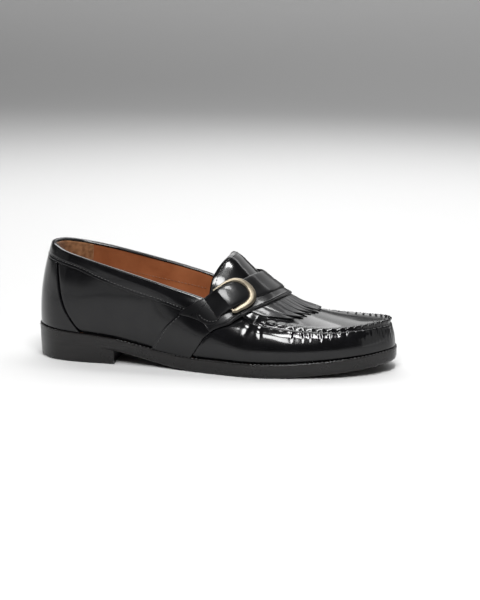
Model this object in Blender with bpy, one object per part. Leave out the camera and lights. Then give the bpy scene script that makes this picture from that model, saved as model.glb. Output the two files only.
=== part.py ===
"""Buckle loafer for the right foot: moccasin upper, fringed kiltie, saddle, strap and D buckle.

Sizes are in millimetres, measured forward from the back of the heel, and MM turns them into metres.
+X points to the toe, +Y to the inner side of the foot, +Z up. The origin is under the sole's middle.
"""

import bmesh
import bpy
import numpy as np

MM = 0.001

# Driving dimensions
SOLE_LENGTH = 270.0
HEEL_LENGTH = 67.0
WALL = 1.8
GAP = 0.35
INSOLE_THICKNESS = 3.0
TOP_BACK = 12.0
TOP_FRONT = 264.7

# Layers on the upper
RIDGE_HEIGHT = 1.5
RIDGE_WIDTH = 1.5
BAND_THICKNESS = 0.8
KILTIE_THICKNESS = 0.8
SADDLE_THICKNESS = 0.9
STRAP_THICKNESS = 1.0
TAB_THICKNESS = 0.9
BAR_HEIGHT = 1.6
BAR_LIFT = 4.9
HEEL_DISH = 4.0

# Width of the seams between neighbouring leathers, along the shoe and round its section
SEAM_T = 0.0012
SEAM_Q = 0.011

# Fringe: number of strips, half of the flap's width, cut between strips and slant of the tips
STRIPS = 12
KILTIE_Q = 0.88
SLIT_Q = 0.016
TIP_T = 0.016

# Where the strap ends on the inner side, and how near the saddle comes to the sole
STRAP_END_Q = 1.30
SADDLE_FOOT_Q = 1.98

# Rows of the wall from the sole to its top, and of the apron from the seam to its middle
WALL_STEPS = (0.0, 0.13, 0.28, 0.45, 0.62, 0.77, 0.875, 0.925, 0.963, 1.0)
APRON_STEPS = (1.0, 0.962, 0.92, 0.86, 0.74, 0.55, 0.33, 0.11)

# Rear edge of the tongue from the middle of the instep to the seams
TONGUE_COLUMNS = ("q", "t")
TONGUE = (
    (0.0, 0.492),
    (0.28, 0.489),
    (0.44, 0.485),
    (0.58, 0.484),
    (0.70, 0.486),
    (0.80, 0.4895),
    (0.88, 0.4935),
    (1.0, 0.502),
)

# Lower edge of the collar band from the heel forwards
BAND_COLUMNS = ("t", "v")
BAND = (
    (0.0, 0.78),
    (0.085, 0.78),
    (0.159, 0.805),
    (0.233, 0.80),
    (0.289, 0.75),
    (0.357, 0.71),
    (0.419, 0.70),
    (0.464, 0.66),
    (0.500, 0.62),
)

# Front edge of the heel counter from the sole upwards
COUNTER_COLUMNS = ("v", "t")
COUNTER = (
    (0.0, 0.253),
    (0.13, 0.226),
    (0.21, 0.210),
    (0.35, 0.189),
    (0.57, 0.165),
    (0.74, 0.145),
    (0.85, 0.132),
)

# Edges of the saddle and of the strap from the outer to the inner side
SADDLE_COLUMNS = ("q", "rear", "front")
SADDLE = (
    (-2.0, 0.408, 0.480),
    (-1.82, 0.420, 0.494),
    (-1.64, 0.433, 0.507),
    (-1.5, 0.446, 0.522),
    (-1.34, 0.461, 0.545),
    (-1.18, 0.478, 0.556),
    (-0.98, 0.496, 0.567),
    (-0.86, 0.503, 0.577),
    (-0.74, 0.517, 0.589),
    (-0.54, 0.537, 0.602),
    (-0.30, 0.545, 0.611),
    (0.0, 0.549, 0.617),
    (0.30, 0.548, 0.618),
    (0.54, 0.539, 0.609),
    (0.74, 0.519, 0.594),
    (0.86, 0.505, 0.580),
    (0.98, 0.497, 0.569),
    (1.18, 0.480, 0.557),
    (1.34, 0.463, 0.545),
    (1.5, 0.448, 0.523),
    (1.64, 0.435, 0.508),
    (1.82, 0.422, 0.495),
    (2.0, 0.410, 0.481),
)
STRAP_COLUMNS = ("q", "rear", "front")
STRAP = (
    (-1.1, 0.482, 0.541),
    (-0.89, 0.500, 0.555),
    (-0.74, 0.515, 0.564),
    (-0.54, 0.534, 0.578),
    (-0.38, 0.5395, 0.586),
    (-0.07, 0.547, 0.5945),
    (0.29, 0.547, 0.598),
    (0.54, 0.537, 0.590),
    (0.74, 0.519, 0.574),
    (0.90, 0.507, 0.560),
    (1.1, 0.491, 0.545),
    (1.34, 0.469, 0.526),
)

# Tips of the fringe across the flap
FRINGE_COLUMNS = ("q", "tip")
FRINGE = (
    (-0.88, 0.630),
    (-0.80, 0.652),
    (-0.70, 0.668),
    (-0.52, 0.677),
    (-0.26, 0.687),
    (0.0, 0.696),
    (0.26, 0.697),
    (0.52, 0.690),
    (0.72, 0.672),
    (0.82, 0.652),
    (0.88, 0.630),
)

# Middle line of the buckle's frame from the rear end of its bar round to the front end
FRAME_COLUMNS = ("t", "q", "width")
FRAME = (
    (0.5020, -0.900, 1.8),
    (0.5072, -0.838, 2.0),
    (0.5130, -0.755, 2.3),
    (0.5210, -0.676, 2.9),
    (0.5327, -0.626, 3.7),
    (0.5460, -0.624, 4.5),
    (0.5573, -0.668, 5.2),
    (0.5632, -0.747, 5.6),
    (0.5620, -0.846, 5.2),
    (0.5555, -0.950, 4.2),
    (0.5490, -1.055, 3.0),
)
# Section of the frame, in halves of its width and height
FRAME_PROFILE = (
    (-1.0, -0.4),
    (-0.6, -1.0),
    (0.6, -1.0),
    (1.0, -0.4),
    (1.0, 0.1),
    (0.5, 1.0),
    (-0.5, 1.0),
    (-1.0, 0.1),
)

# Sole edge seen from above: distance of the outer and inner edge from the heel's centre line
OUTLINE_COLUMNS = ("x", "outer", "inner")
OUTLINE = (
    (0.0, 0.0, 0.0),
    (6.0, 16.5, 16.5),
    (18.0, 26.3, 26.0),
    (38.0, 31.0, 30.5),
    (66.0, 31.5, 29.5),
    (95.0, 33.0, 27.0),
    (120.0, 37.0, 28.0),
    (145.0, 41.5, 33.5),
    (168.0, 44.5, 40.5),
    (190.0, 43.5, 45.5),
    (212.0, 39.0, 47.0),
    (234.0, 32.0, 44.5),
    (252.0, 21.5, 37.0),
    (263.0, 10.5, 27.5),
    (270.0, -6.5, 6.5),
)

# Height of the sole's underside and of its upper face along the shoe
SOLE_COLUMNS = ("x", "tread", "seat")
SOLE = (
    (0.0, 16.0, 24.5),
    (30.0, 14.2, 22.8),
    (55.0, 12.2, 20.9),
    (67.0, 10.6, 19.5),
    (82.0, 7.4, 16.6),
    (98.0, 4.0, 13.5),
    (115.0, 1.4, 11.2),
    (132.0, 0.2, 10.1),
    (150.0, 0.0, 10.0),
    (180.0, 0.0, 10.0),
    (205.0, 1.2, 11.1),
    (225.0, 2.9, 12.6),
    (248.0, 5.2, 14.7),
    (270.0, 7.8, 17.0),
)

# Top of the upper's wall: the collar as far as the throat, then the apron seam round the toe
TOPLINE_COLUMNS = ("x", "outer", "outer_z", "inner", "inner_z")
TOPLINE = (
    (12.0, 0.0, 86.0, 0.0, 86.0),
    (17.0, 12.5, 85.0, 12.5, 85.5),
    (28.0, 21.0, 81.5, 20.5, 83.0),
    (50.0, 26.0, 76.0, 24.5, 78.7),
    (80.0, 28.5, 68.3, 25.5, 72.2),
    (110.0, 29.5, 60.0, 26.0, 65.0),
    (136.0, 29.5, 52.5, 26.0, 57.0),
    (152.0, 30.0, 47.0, 27.0, 49.5),
    (168.0, 30.5, 40.0, 28.5, 42.0),
    (186.0, 30.5, 36.5, 30.0, 38.0),
    (206.0, 28.0, 34.0, 31.0, 35.5),
    (226.0, 23.5, 33.2, 30.5, 34.3),
    (245.0, 16.0, 34.8, 26.0, 34.6),
    (257.6, 7.0, 36.4, 18.5, 35.9),
    (264.7, -5.5, 37.2, 5.5, 37.2),
)

# Shape of the wall: how far it rounds over, how far it swells out and its distance from the sole's edge
WALL_COLUMNS = ("x", "round", "swell", "margin")
WALL_SHAPE = (
    (0.0, 0.30, 1.2, 1.8),
    (40.0, 0.25, 1.5, 1.9),
    (100.0, 0.25, 1.5, 1.9),
    (150.0, 0.45, 2.0, 2.0),
    (200.0, 0.70, 2.0, 2.2),
    (248.0, 0.60, 1.0, 1.9),
    (270.0, 0.15, 0.2, 1.1),
)

# Ridge of the instep from the tongue down to the toe, and how far it lies ahead of the wall's top
CREST_COLUMNS = ("x", "z", "lag")
CREST = (
    (143.0, 79.5, 15.0),
    (149.0, 82.6, 15.0),
    (155.0, 80.2, 14.6),
    (162.0, 74.0, 13.5),
    (175.0, 62.2, 11.0),
    (190.0, 52.0, 7.0),
    (205.0, 43.5, 3.0),
    (220.0, 39.0, 1.0),
    (242.0, 36.3, 0.0),
    (255.0, 36.7, 0.0),
    (264.7, 37.2, 0.0),
)
ARCH_POWER = 2.3


def column(table, columns, name):
    return np.array([row[columns.index(name)] for row in table], float)


def spline(knots, values):
    """A smooth curve through the values: cubic pieces with slopes taken from the neighbouring knots."""
    knots, values = np.asarray(knots, float), np.asarray(values, float)
    slopes = np.gradient(values, knots)

    def at(x):
        x = np.clip(x, knots[0], knots[-1])
        i = np.clip(np.searchsorted(knots, x, side="right") - 1, 0, len(knots) - 2)
        h = knots[i + 1] - knots[i]
        s = (x - knots[i]) / h
        start = (1 + 2 * s) * (1 - s) ** 2 * values[i] + s * (1 - s) ** 2 * h * slopes[i]
        end = s**2 * (3 - 2 * s) * values[i + 1] - s**2 * (1 - s) * h * slopes[i + 1]
        return start + end

    return at


def eased(t):
    """Position from heel to toe, 0 to 1, for a parameter t that slows down at both round ends."""
    return (1 - np.cos(np.pi * t)) / 2


def uneased(share):
    return np.arccos(np.clip(1 - 2 * share, -1, 1)) / np.pi


def closed_curve(t, outer, inner):
    """A smooth closed curve over tau: negative on the outer side, 0 at the heel, -1 and 1 at the toe."""
    knots = np.concatenate([-t[:0:-1], t[:-1]])
    values = np.concatenate([outer[:0:-1], inner[:-1]])
    return spline(
        np.concatenate([knots - 2, knots, knots + 2]), np.concatenate([values] * 3)
    )


OUTLINE_Y = closed_curve(
    uneased(column(OUTLINE, OUTLINE_COLUMNS, "x") / SOLE_LENGTH),
    -column(OUTLINE, OUTLINE_COLUMNS, "outer"),
    column(OUTLINE, OUTLINE_COLUMNS, "inner"),
)
TOP_T = uneased(
    (column(TOPLINE, TOPLINE_COLUMNS, "x") - TOP_BACK) / (TOP_FRONT - TOP_BACK)
)
TOP_Y = closed_curve(
    TOP_T,
    -column(TOPLINE, TOPLINE_COLUMNS, "outer"),
    column(TOPLINE, TOPLINE_COLUMNS, "inner"),
)
TOP_Z = closed_curve(
    TOP_T,
    column(TOPLINE, TOPLINE_COLUMNS, "outer_z"),
    column(TOPLINE, TOPLINE_COLUMNS, "inner_z"),
)
SOLE_X = column(SOLE, SOLE_COLUMNS, "x")
TREAD = spline(SOLE_X, column(SOLE, SOLE_COLUMNS, "tread"))
SEAT = spline(SOLE_X, column(SOLE, SOLE_COLUMNS, "seat"))
WALL_X = column(WALL_SHAPE, WALL_COLUMNS, "x")
ROUND = spline(WALL_X, column(WALL_SHAPE, WALL_COLUMNS, "round"))
SWELL = spline(WALL_X, column(WALL_SHAPE, WALL_COLUMNS, "swell"))
MARGIN = spline(WALL_X, column(WALL_SHAPE, WALL_COLUMNS, "margin"))
CREST_X = column(CREST, CREST_COLUMNS, "x")
CREST_Z = spline(CREST_X, column(CREST, CREST_COLUMNS, "z"))
LAG = spline(
    CREST_X - column(CREST, CREST_COLUMNS, "lag"), column(CREST, CREST_COLUMNS, "lag")
)


def outline(tau, inset=0.0):
    """Point of the sole's edge, moved inwards by inset, and the outward direction there."""
    step = 1e-4

    def edge(at):
        return np.stack([SOLE_LENGTH * eased(np.abs(at)), OUTLINE_Y(at)], -1)

    # The eased x runs out and back, so its slope is taken along the closed curve.
    ahead, behind = edge(tau + step), edge(tau - step)
    along = ahead - behind
    normal = np.stack([-along[..., 1], along[..., 0]], -1)
    normal /= np.linalg.norm(normal, axis=-1, keepdims=True)
    return edge(tau) - normal * np.asarray(inset)[..., None], normal


def wall(tau, v):
    """Outer face of the upper's wall: v runs from 0 at the sole to 1 at the collar or apron seam."""
    foot, outward = outline(tau, MARGIN(SOLE_LENGTH * eased(np.abs(tau))))
    x = foot[..., 0]
    top_x = TOP_BACK + (TOP_FRONT - TOP_BACK) * eased(np.abs(tau))
    turn = v * np.pi / 2
    share = ROUND(x)
    inward = (1 - share) * v**1.4 + share * (1 - np.cos(turn))
    upward = (1 - share) * v + share * np.sin(turn)
    swell = SWELL(x) * np.sin(np.pi * v**0.8)
    return np.stack(
        [
            x + (top_x - x) * inward + outward[..., 0] * swell,
            foot[..., 1] + (TOP_Y(tau) - foot[..., 1]) * inward + outward[..., 1] * swell,
            SEAT(x) + (TOP_Z(tau) - SEAT(x)) * upward,
        ],
        -1,
    )


def instep(t, w):
    """Top of the foot from the throat to the toe: w runs from -1 at the outer seam to 1 at the inner."""
    one = np.ones_like(w)
    outer, inner = wall(-t, one), wall(t, one)
    middle = (outer + inner) / 2
    lag = LAG(middle[..., 0])
    rise = CREST_Z(middle[..., 0] + lag) - middle[..., 2]
    arch = 1 - np.abs(w) ** ARCH_POWER
    point = middle + (inner - outer) / 2 * w[..., None]
    point[..., 0] += lag * arch
    point[..., 2] += rise * arch
    return point


def skin(t, q):
    """Section of the upper at t: q is -2 at the outer sole, -1 and 1 at the seams, 2 at the inner sole."""
    t, q = np.broadcast_arrays(np.asarray(t, float), np.asarray(q, float))
    side = wall(np.where(q < 0, -t, t), np.clip(2 - np.abs(q), 0, 1))
    top = instep(t, np.clip(q, -1, 1))
    return np.where((np.abs(q) >= 1)[..., None], side, top)


def sheet_normals(points, faces):
    """Outward direction at each point of an open sheet, averaged over the faces around it."""
    normals = np.zeros_like(points)
    for face in faces:
        corners = points[list(face)]
        across = np.cross(corners, np.roll(corners, -1, axis=0)).sum(axis=0)
        for i in face:
            normals[i] += across
    return normals / np.linalg.norm(normals, axis=1, keepdims=True)


def grid(rows, columns):
    """Faces of a grid whose points run row by row; rows then columns turn outwards."""
    return [
        (r * columns + c, (r + 1) * columns + c, (r + 1) * columns + c + 1, r * columns + c + 1)
        for r in range(rows - 1)
        for c in range(columns - 1)
    ]


def shell(faces, levels):
    """Closed body: the first and last copy of a sheet, joined along its border through those between."""
    count = len(levels[0])
    last = (len(levels) - 1) * count
    edges = {edge for face in faces for edge in zip(face, face[1:] + face[:1])}
    border = [(i, j) for i, j in edges if (j, i) not in edges]
    body = list(faces) + [tuple(i + last for i in reversed(face)) for face in faces]
    for i, j in sorted(border):
        for start in range(0, last, count):
            body.append((j + start, i + start, i + start + count, j + start + count))
    return np.concatenate(levels), body


def patch(points, rows, columns, lift, thickness):
    """Slab of even thickness over a grid of points on the upper, lifted off it."""
    points = points.reshape(-1, 3)
    faces = grid(rows, columns)
    normals = sheet_normals(points, faces)
    low = points + normals * np.broadcast_to(lift, (rows, columns)).reshape(-1, 1)
    return shell(faces, [low + normals * thickness, low])


def plate(stations, shares, levels, dish=0.0):
    """Flat body within the sole's edge: stations run from the heel on, shares from edge to edge.

    Each level gives the inset from the edge and the height as functions of x. Dish hollows the front end.
    """
    closed = stations[-1] == 1.0
    inside = stations[1:-1] if closed else stations[1:]
    sheets = []
    for inset, height in levels:
        x = SOLE_LENGTH * eased(inside)
        outer, inner = outline(-inside, inset(x))[0], outline(inside, inset(x))[0]
        rows = outer[:, None] + (inner - outer)[:, None] * (shares[None, :, None] + 1) / 2
        rows[..., 0] -= dish * (1 - shares**2) * (inside[:, None] / inside[-1]) ** 6
        ends = outline(np.array([0.0, 1.0]), inset(np.array([0.0, SOLE_LENGTH])))[0]
        flat = np.concatenate([ends[:1], rows.reshape(-1, 2), ends[1:]])
        sheets.append(np.column_stack([flat, height(flat[:, 0])]))
    columns = len(shares)
    faces = [tuple(i + 1 for i in face) for face in grid(len(inside), columns)]
    faces += [(0, c + 1, c + 2) for c in range(columns - 1)]
    if closed:
        front = (len(inside) - 1) * columns + 1
        toe = len(sheets[0]) - 1
        faces += [(front + c, toe, front + c + 1) for c in range(columns - 1)]
    return shell(faces, sheets)


def tread(x):
    return np.maximum(TREAD(x), 0.0)


def seat(x):
    return SEAT(x) - GAP


def smooth(x, start, end):
    s = np.clip((x - start) / (end - start), 0, 1)
    return s * s * (3 - 2 * s)


def outsole():
    def bevel(x):
        return np.interp(x, (HEEL_LENGTH - 10, HEEL_LENGTH + 15), (0.3, 1.3))

    return plate(
        np.linspace(0, 1, 43),
        np.array([-1.0, 1.0]),
        [
            (lambda x: 0.8 + 0 * x, seat),
            (lambda x: 0 * x, lambda x: seat(x) - 0.8),
            (lambda x: 0.15 + 0 * x, lambda x: tread(x) + 1.6),
            (bevel, tread),
        ],
    )


def heel():
    return plate(
        np.linspace(0, uneased(HEEL_LENGTH / SOLE_LENGTH), 13),
        np.linspace(-1, 1, 5),
        [
            (lambda x: 0.3 + 0 * x, lambda x: tread(x) - GAP),
            (lambda x: 0.9 + 0 * x, lambda x: 1.2 + 0 * x),
            (lambda x: 1.9 + 0 * x, lambda x: 0 * x),
        ],
        HEEL_DISH,
    )


def insole():
    def edge(x):
        return MARGIN(x) + WALL + 0.6

    return plate(
        np.linspace(0, 1, 37),
        np.array([-1.0, 1.0]),
        [(lambda x: edge(x) + 0.5, lambda x: SEAT(x) + INSOLE_THICKNESS), (edge, SEAT)],
    )


def ridge(t, distance):
    """Height of the raised apron seam at a distance from it; it dies away under the saddle."""
    return RIDGE_HEIGHT * smooth(t, 0.57, 0.61) * np.exp(-((distance / RIDGE_WIDTH) ** 2))


def upper():
    """Wall all round, and the apron from its toe back to the tongue's edge, as one skin of leather."""
    rows = np.linspace(0, 1, 23)[:-1] ** 1.15
    corner = TONGUE_T(1.0)
    side = corner + (1 - corner) * rows
    collar = np.linspace(-corner, corner, 41)[1:-1]
    tau = np.concatenate([-side[::-1], collar, side, [1.0]])
    heights = np.array(WALL_STEPS)
    shares = np.concatenate([-np.array(APRON_STEPS), np.array(APRON_STEPS)[::-1]])
    columns = len(tau)

    v, around = np.meshgrid(heights, tau, indexing="ij")
    points = wall(around, v)
    length = np.linalg.norm(np.diff(points, axis=0), axis=2).sum(axis=0)
    bump = ridge(np.abs(around), (1 - v) * length)
    faces = [
        (r * columns + c, (r + 1) * columns + c, (r + 1) * columns + n, r * columns + n)
        for r in range(len(heights) - 1)
        for c, n in zip(range(columns), list(range(1, columns)) + [0])
    ]

    s = shares[None, 1:-1]
    t = side[:, None] - (corner - TONGUE_T(np.abs(s))) * (1 - smooth(rows, 0, 0.25))[:, None]
    s = np.broadcast_to(s, t.shape)
    half = np.linalg.norm(wall(side, 1 + 0 * side) - wall(-side, 1 + 0 * side), axis=1) / 2
    apron = instep(t, s)
    bump = np.concatenate([bump.ravel(), ridge(t, (1 - np.abs(s)) * half[:, None]).ravel()])
    top = (len(heights) - 1) * columns
    first = len(heights) * columns
    width = len(shares) - 2
    toe = top + columns - 1
    index = [
        [top + len(side) - 1 - i]
        + [first + i * width + k for k in range(width)]
        + [top + len(side) + len(collar) + i]
        for i in range(len(side))
    ]
    for back, front in zip(index, index[1:]):
        faces += [(back[k], front[k], front[k + 1], back[k + 1]) for k in range(width + 1)]
    faces += [(index[-1][k], toe, index[-1][k + 1]) for k in range(width + 1)]

    points = np.concatenate([points.reshape(-1, 3), apron.reshape(-1, 3)])
    normals = sheet_normals(points, faces)
    normals[:columns, 2] = 0
    normals /= np.linalg.norm(normals, axis=1, keepdims=True)
    inner = points - normals * WALL
    inner[:columns, 2] = SEAT(inner[:columns, 0])
    return shell(faces, [points + normals * bump[:, None], inner])


def table_curve(table, columns, key, name):
    return spline(column(table, columns, key), column(table, columns, name))


TONGUE_T = table_curve(TONGUE, TONGUE_COLUMNS, "q", "t")
BAND_V = table_curve(BAND, BAND_COLUMNS, "t", "v")
COUNTER_T = table_curve(COUNTER, COUNTER_COLUMNS, "v", "t")
SADDLE_REAR = table_curve(SADDLE, SADDLE_COLUMNS, "q", "rear")
SADDLE_FRONT = table_curve(SADDLE, SADDLE_COLUMNS, "q", "front")
STRAP_REAR = table_curve(STRAP, STRAP_COLUMNS, "q", "rear")
STRAP_FRONT = table_curve(STRAP, STRAP_COLUMNS, "q", "front")
FRINGE_T = table_curve(FRINGE, FRINGE_COLUMNS, "q", "tip")


def collar_band():
    along, up = np.meshgrid(np.linspace(-1, 1, 47), np.linspace(0, 1, 4))
    tau = along * 0.48
    v = BAND_V(np.abs(tau)) * (1 - up) + 0.995 * up
    end = SADDLE_REAR((2 - v) * np.sign(along)) - SEAM_T
    tau = along * end
    v = BAND_V(np.abs(tau)) * (1 - up) + 0.995 * up
    return patch(wall(tau, v), *tau.shape, GAP, BAND_THICKNESS)


def counter():
    along, up = np.meshgrid(np.linspace(-1, 1, 19), np.linspace(0, 1, 7))
    v = 0.02 + 0.72 * up
    tau = along * COUNTER_T(v)
    v = 0.02 + (BAND_V(np.abs(tau)) - 0.012 - 0.02) * up
    tau = along * COUNTER_T(v)
    return patch(wall(tau, v), *tau.shape, GAP, BAND_THICKNESS)


def saddle_lift(q):
    """The saddle lies on the wall at its sides and on the kiltie over the instep."""
    return GAP + (KILTIE_THICKNESS + GAP) * (1 - smooth(np.abs(q), 0.97, 1.25))


def saddle_seam(a):
    """Place of the seam across each side of the saddle, from its rear to its front edge."""
    return 1.40 + 0.16 * a**3


def band_over(rear, front, a, q, lift, thickness):
    t = rear(q) + (front(q) - rear(q)) * a
    return patch(skin(t, q), *t.shape, lift, thickness)


def saddle_side(side):
    """Lower end of the saddle on the outer (-1) or inner (1) side, between the sole and the cross seam."""
    a, b = np.meshgrid(np.linspace(0, 1, 8), np.linspace(0, 1, 9), indexing="ij")
    seam = saddle_seam(a) + SEAM_Q / 2
    sole = SADDLE_FOOT_Q
    q = seam + (sole - seam) * b if side > 0 else -sole + (sole - seam) * b
    return band_over(SADDLE_REAR, SADDLE_FRONT, a, q, GAP, SADDLE_THICKNESS)


def saddle():
    a, b = np.meshgrid(np.linspace(0, 1, 8), np.linspace(-1, 1, 33), indexing="ij")
    q = b * (saddle_seam(a) - SEAM_Q / 2)
    return band_over(SADDLE_REAR, SADDLE_FRONT, a, q, saddle_lift(q), SADDLE_THICKNESS)


def strap():
    a, b = np.meshgrid(np.linspace(0, 1, 7), np.linspace(0, 1, 27), indexing="ij")
    start = -0.81 - 0.14 * a
    q = start + (STRAP_END_Q - start) * b
    lift = saddle_lift(q) + SADDLE_THICKNESS + GAP
    return band_over(STRAP_REAR, STRAP_FRONT, a, q, lift, STRAP_THICKNESS)


def kiltie():
    """Flap under the saddle whose front is cut into strips with slanting tips."""
    edges = np.linspace(-KILTIE_Q, KILTIE_Q, STRIPS + 1)
    q = np.concatenate(
        [[low + SLIT_Q / 2, (low + high) / 2, high - SLIT_Q / 2] for low, high in zip(edges, edges[1:])]
    )
    slant = np.tile([-1.0, -0.5, 0.0], STRIPS)
    slant = TIP_T * np.where(q < 0, slant, slant[::-1])
    rear = SADDLE_REAR(q) + 2 * SEAM_T
    base = SADDLE_FRONT(q) - 0.004
    tip = FRINGE_T(q) + slant
    t = np.concatenate(
        [
            rear + (base - rear) * np.linspace(0, 1, 4)[:, None],
            base + (tip - base) * np.linspace(0, 1, 6)[1:, None],
        ]
    )
    q = np.broadcast_to(q, t.shape)
    rows, columns = t.shape
    faces = [
        face
        for face in grid(rows, columns)
        if face[0] // columns < 3 or face[0] % columns % 3 != 2
    ]
    points = skin(t, q).reshape(-1, 3)
    normals = sheet_normals(points, faces)
    low = points + normals * GAP
    return shell(faces, [low + normals * KILTIE_THICKNESS, low])


def bar_place(b):
    """Place of the buckle's bar on the upper, from its rear end to its front end."""
    return 0.5255 + 0.0235 * b, -0.9775 - 0.0775 * b


def skin_frame(t, q):
    """Point of the skin with the outward direction there, taken over a span that smooths out the seam."""
    point = skin(t, q)
    along = skin(t + 0.004, q) - skin(t - 0.004, q)
    around = skin(t, q + 0.12) - skin(t, q - 0.12)
    normal = np.cross(along, around)
    normal /= np.linalg.norm(normal, axis=-1, keepdims=True)
    return point, normal


def buckle_tab():
    """Strip from its rounded end up to the buckle, folded round the bar and back under itself."""
    b = np.linspace(-1, 1, 9)
    end_t, end_q = 0.508 + 0.019 * b, -1.31 - 0.13 * np.sqrt(1 - b**2 * 0.98)
    bar_t, bar_q = bar_place(0.72 * b)
    low = GAP * 2 + SADDLE_THICKNESS + TAB_THICKNESS / 2
    turn_radius = BAR_HEIGHT / 2 + GAP + TAB_THICKNESS / 2
    rows = []
    for a in np.linspace(0, 1, 8):
        t, q = end_t + (bar_t - end_t) * a, end_q + (bar_q - end_q) * a
        point, normal = skin_frame(t, q)
        lift = low + (BAR_LIFT + turn_radius - low) * smooth(a, 0.05, 0.95)
        rows.append(point + normal * lift)
    point, normal = skin_frame(bar_t, bar_q)
    before = skin(bar_t + (end_t - bar_t) * 0.1, bar_q + (end_q - bar_q) * 0.1)
    forward = point - before
    forward -= normal * np.sum(forward * normal, axis=1, keepdims=True)
    forward /= np.linalg.norm(forward, axis=1, keepdims=True)
    for turn in np.linspace(0, np.pi, 7)[1:]:
        reach, height = np.sin(turn) * turn_radius, np.cos(turn) * turn_radius
        rows.append(point + forward * reach + normal * (BAR_LIFT + height))
    for back in (2.0, 4.0):
        rows.append(point - forward * back + normal * (BAR_LIFT - turn_radius))
    points = np.array(rows)[:, ::-1]
    return patch(points, *points.shape[:2], -TAB_THICKNESS / 2, TAB_THICKNESS)


def buckle():
    """D-shaped frame that follows the instep, wide at its curve and narrow at the bar."""
    knots = column(FRAME, FRAME_COLUMNS, "t"), column(FRAME, FRAME_COLUMNS, "q")
    marks = np.arange(len(FRAME))
    at = np.linspace(0, len(FRAME) - 1, 31)
    t, q = spline(marks, knots[0])(at), spline(marks, knots[1])(at)
    width = spline(marks, column(FRAME, FRAME_COLUMNS, "width"))(at)
    bar = np.linspace(1, -1, 13)[1:-1]
    bar_t = (t[0] + t[-1]) / 2 + (t[-1] - t[0]) / 2 * bar
    bar_q = (q[0] + q[-1]) / 2 + (q[-1] - q[0]) / 2 * bar
    t, q = np.concatenate([t, bar_t]), np.concatenate([q, bar_q])
    width = np.concatenate([width, np.full(len(bar), BAR_HEIGHT)])
    point, normal = skin_frame(t, q)
    point = point + normal * BAR_LIFT
    ahead = np.roll(point, -1, axis=0) - np.roll(point, 1, axis=0)
    across = np.cross(ahead, normal)
    across /= np.linalg.norm(across, axis=1, keepdims=True)
    profile = np.array(FRAME_PROFILE)
    rings = (
        point[:, None]
        + across[:, None] * profile[None, :, :1] * width[:, None, None] / 2
        + normal[:, None] * profile[None, :, 1:] * BAR_HEIGHT / 2
    )
    count, sides = len(point), len(profile)
    faces = [
        (
            i * sides + k,
            i * sides + (k + 1) % sides,
            (i + 1) % count * sides + (k + 1) % sides,
            (i + 1) % count * sides + k,
        )
        for i in range(count)
        for k in range(sides)
    ]
    return rings.reshape(-1, 3), faces


def material(name, color, metallic, roughness):
    made = bpy.data.materials.new(name)
    made.use_nodes = True
    shader = made.node_tree.nodes["Principled BSDF"]
    shader.inputs["Base Color"].default_value = (*color, 1.0)
    shader.inputs["Metallic"].default_value = metallic
    shader.inputs["Roughness"].default_value = roughness
    return made


def add_part(name, body, color, metallic=0.0, roughness=0.3):
    """One named object from a closed body, moved into the shoe's frame."""
    points, faces = body
    used = sorted({i for face in faces for i in face})
    place = {old: new for new, old in enumerate(used)}
    tau = np.linspace(-1, 1, 2001)
    edge = outline(tau)[0]
    middle = (edge.max(axis=0) + edge.min(axis=0)) / 2
    points = (points[used] - [*middle, 0.0]) * MM
    mesh = bpy.data.meshes.new(name)
    mesh.from_pydata(points.tolist(), [], [[place[i] for i in face] for face in faces])
    work = bmesh.new()
    work.from_mesh(mesh)
    bmesh.ops.triangulate(work, faces=work.faces[:], quad_method="SHORT_EDGE")
    bmesh.ops.recalc_face_normals(work, faces=work.faces[:])
    work.to_mesh(mesh)
    work.free()
    mesh.materials.append(material(name, color, metallic, roughness))
    bpy.context.scene.collection.objects.link(bpy.data.objects.new(name, mesh))


def main():
    for old in list(bpy.data.objects):
        bpy.data.objects.remove(old)
    black = (0.012, 0.012, 0.013)
    add_part("outsole", outsole(), (0.02, 0.018, 0.017), roughness=0.45)
    add_part("heel", heel(), (0.016, 0.015, 0.015), roughness=0.4)
    add_part("insole", insole(), (0.46, 0.20, 0.075), roughness=0.5)
    add_part("upper", upper(), black)
    add_part("collar_band", collar_band(), black)
    add_part("counter", counter(), black)
    add_part("kiltie", kiltie(), black)
    add_part("saddle", saddle(), black)
    add_part("saddle_outer_side", saddle_side(-1), black)
    add_part("saddle_inner_side", saddle_side(1), black)
    add_part("strap", strap(), black)
    add_part("buckle_tab", buckle_tab(), black)
    add_part("buckle", buckle(), (0.80, 0.68, 0.42), 1.0, 0.22)


if __name__ == "__main__":
    main()
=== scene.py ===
"""Dresses the buckle loafer: polished upper, tan lining, stitches, fringe, strap, buckle, sole and heel.

Sizes are in millimetres from the back of the heel, as in the solids, and in_frame moves them into the frame.
"""

import bmesh
import bpy
import numpy as np
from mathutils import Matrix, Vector


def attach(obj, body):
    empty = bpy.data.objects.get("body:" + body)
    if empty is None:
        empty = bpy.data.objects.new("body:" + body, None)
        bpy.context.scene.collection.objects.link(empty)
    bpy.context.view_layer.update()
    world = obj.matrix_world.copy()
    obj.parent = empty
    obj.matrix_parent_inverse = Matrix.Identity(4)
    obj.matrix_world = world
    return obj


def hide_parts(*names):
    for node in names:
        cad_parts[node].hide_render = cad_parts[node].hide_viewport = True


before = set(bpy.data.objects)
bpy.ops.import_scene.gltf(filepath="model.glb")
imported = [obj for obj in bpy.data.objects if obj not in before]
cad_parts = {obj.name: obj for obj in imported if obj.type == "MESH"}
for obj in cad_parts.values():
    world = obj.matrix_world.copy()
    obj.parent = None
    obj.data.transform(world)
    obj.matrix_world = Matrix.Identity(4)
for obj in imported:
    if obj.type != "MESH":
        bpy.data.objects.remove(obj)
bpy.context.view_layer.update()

MM = 0.001
RANDOM = np.random.default_rng(39)

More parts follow.
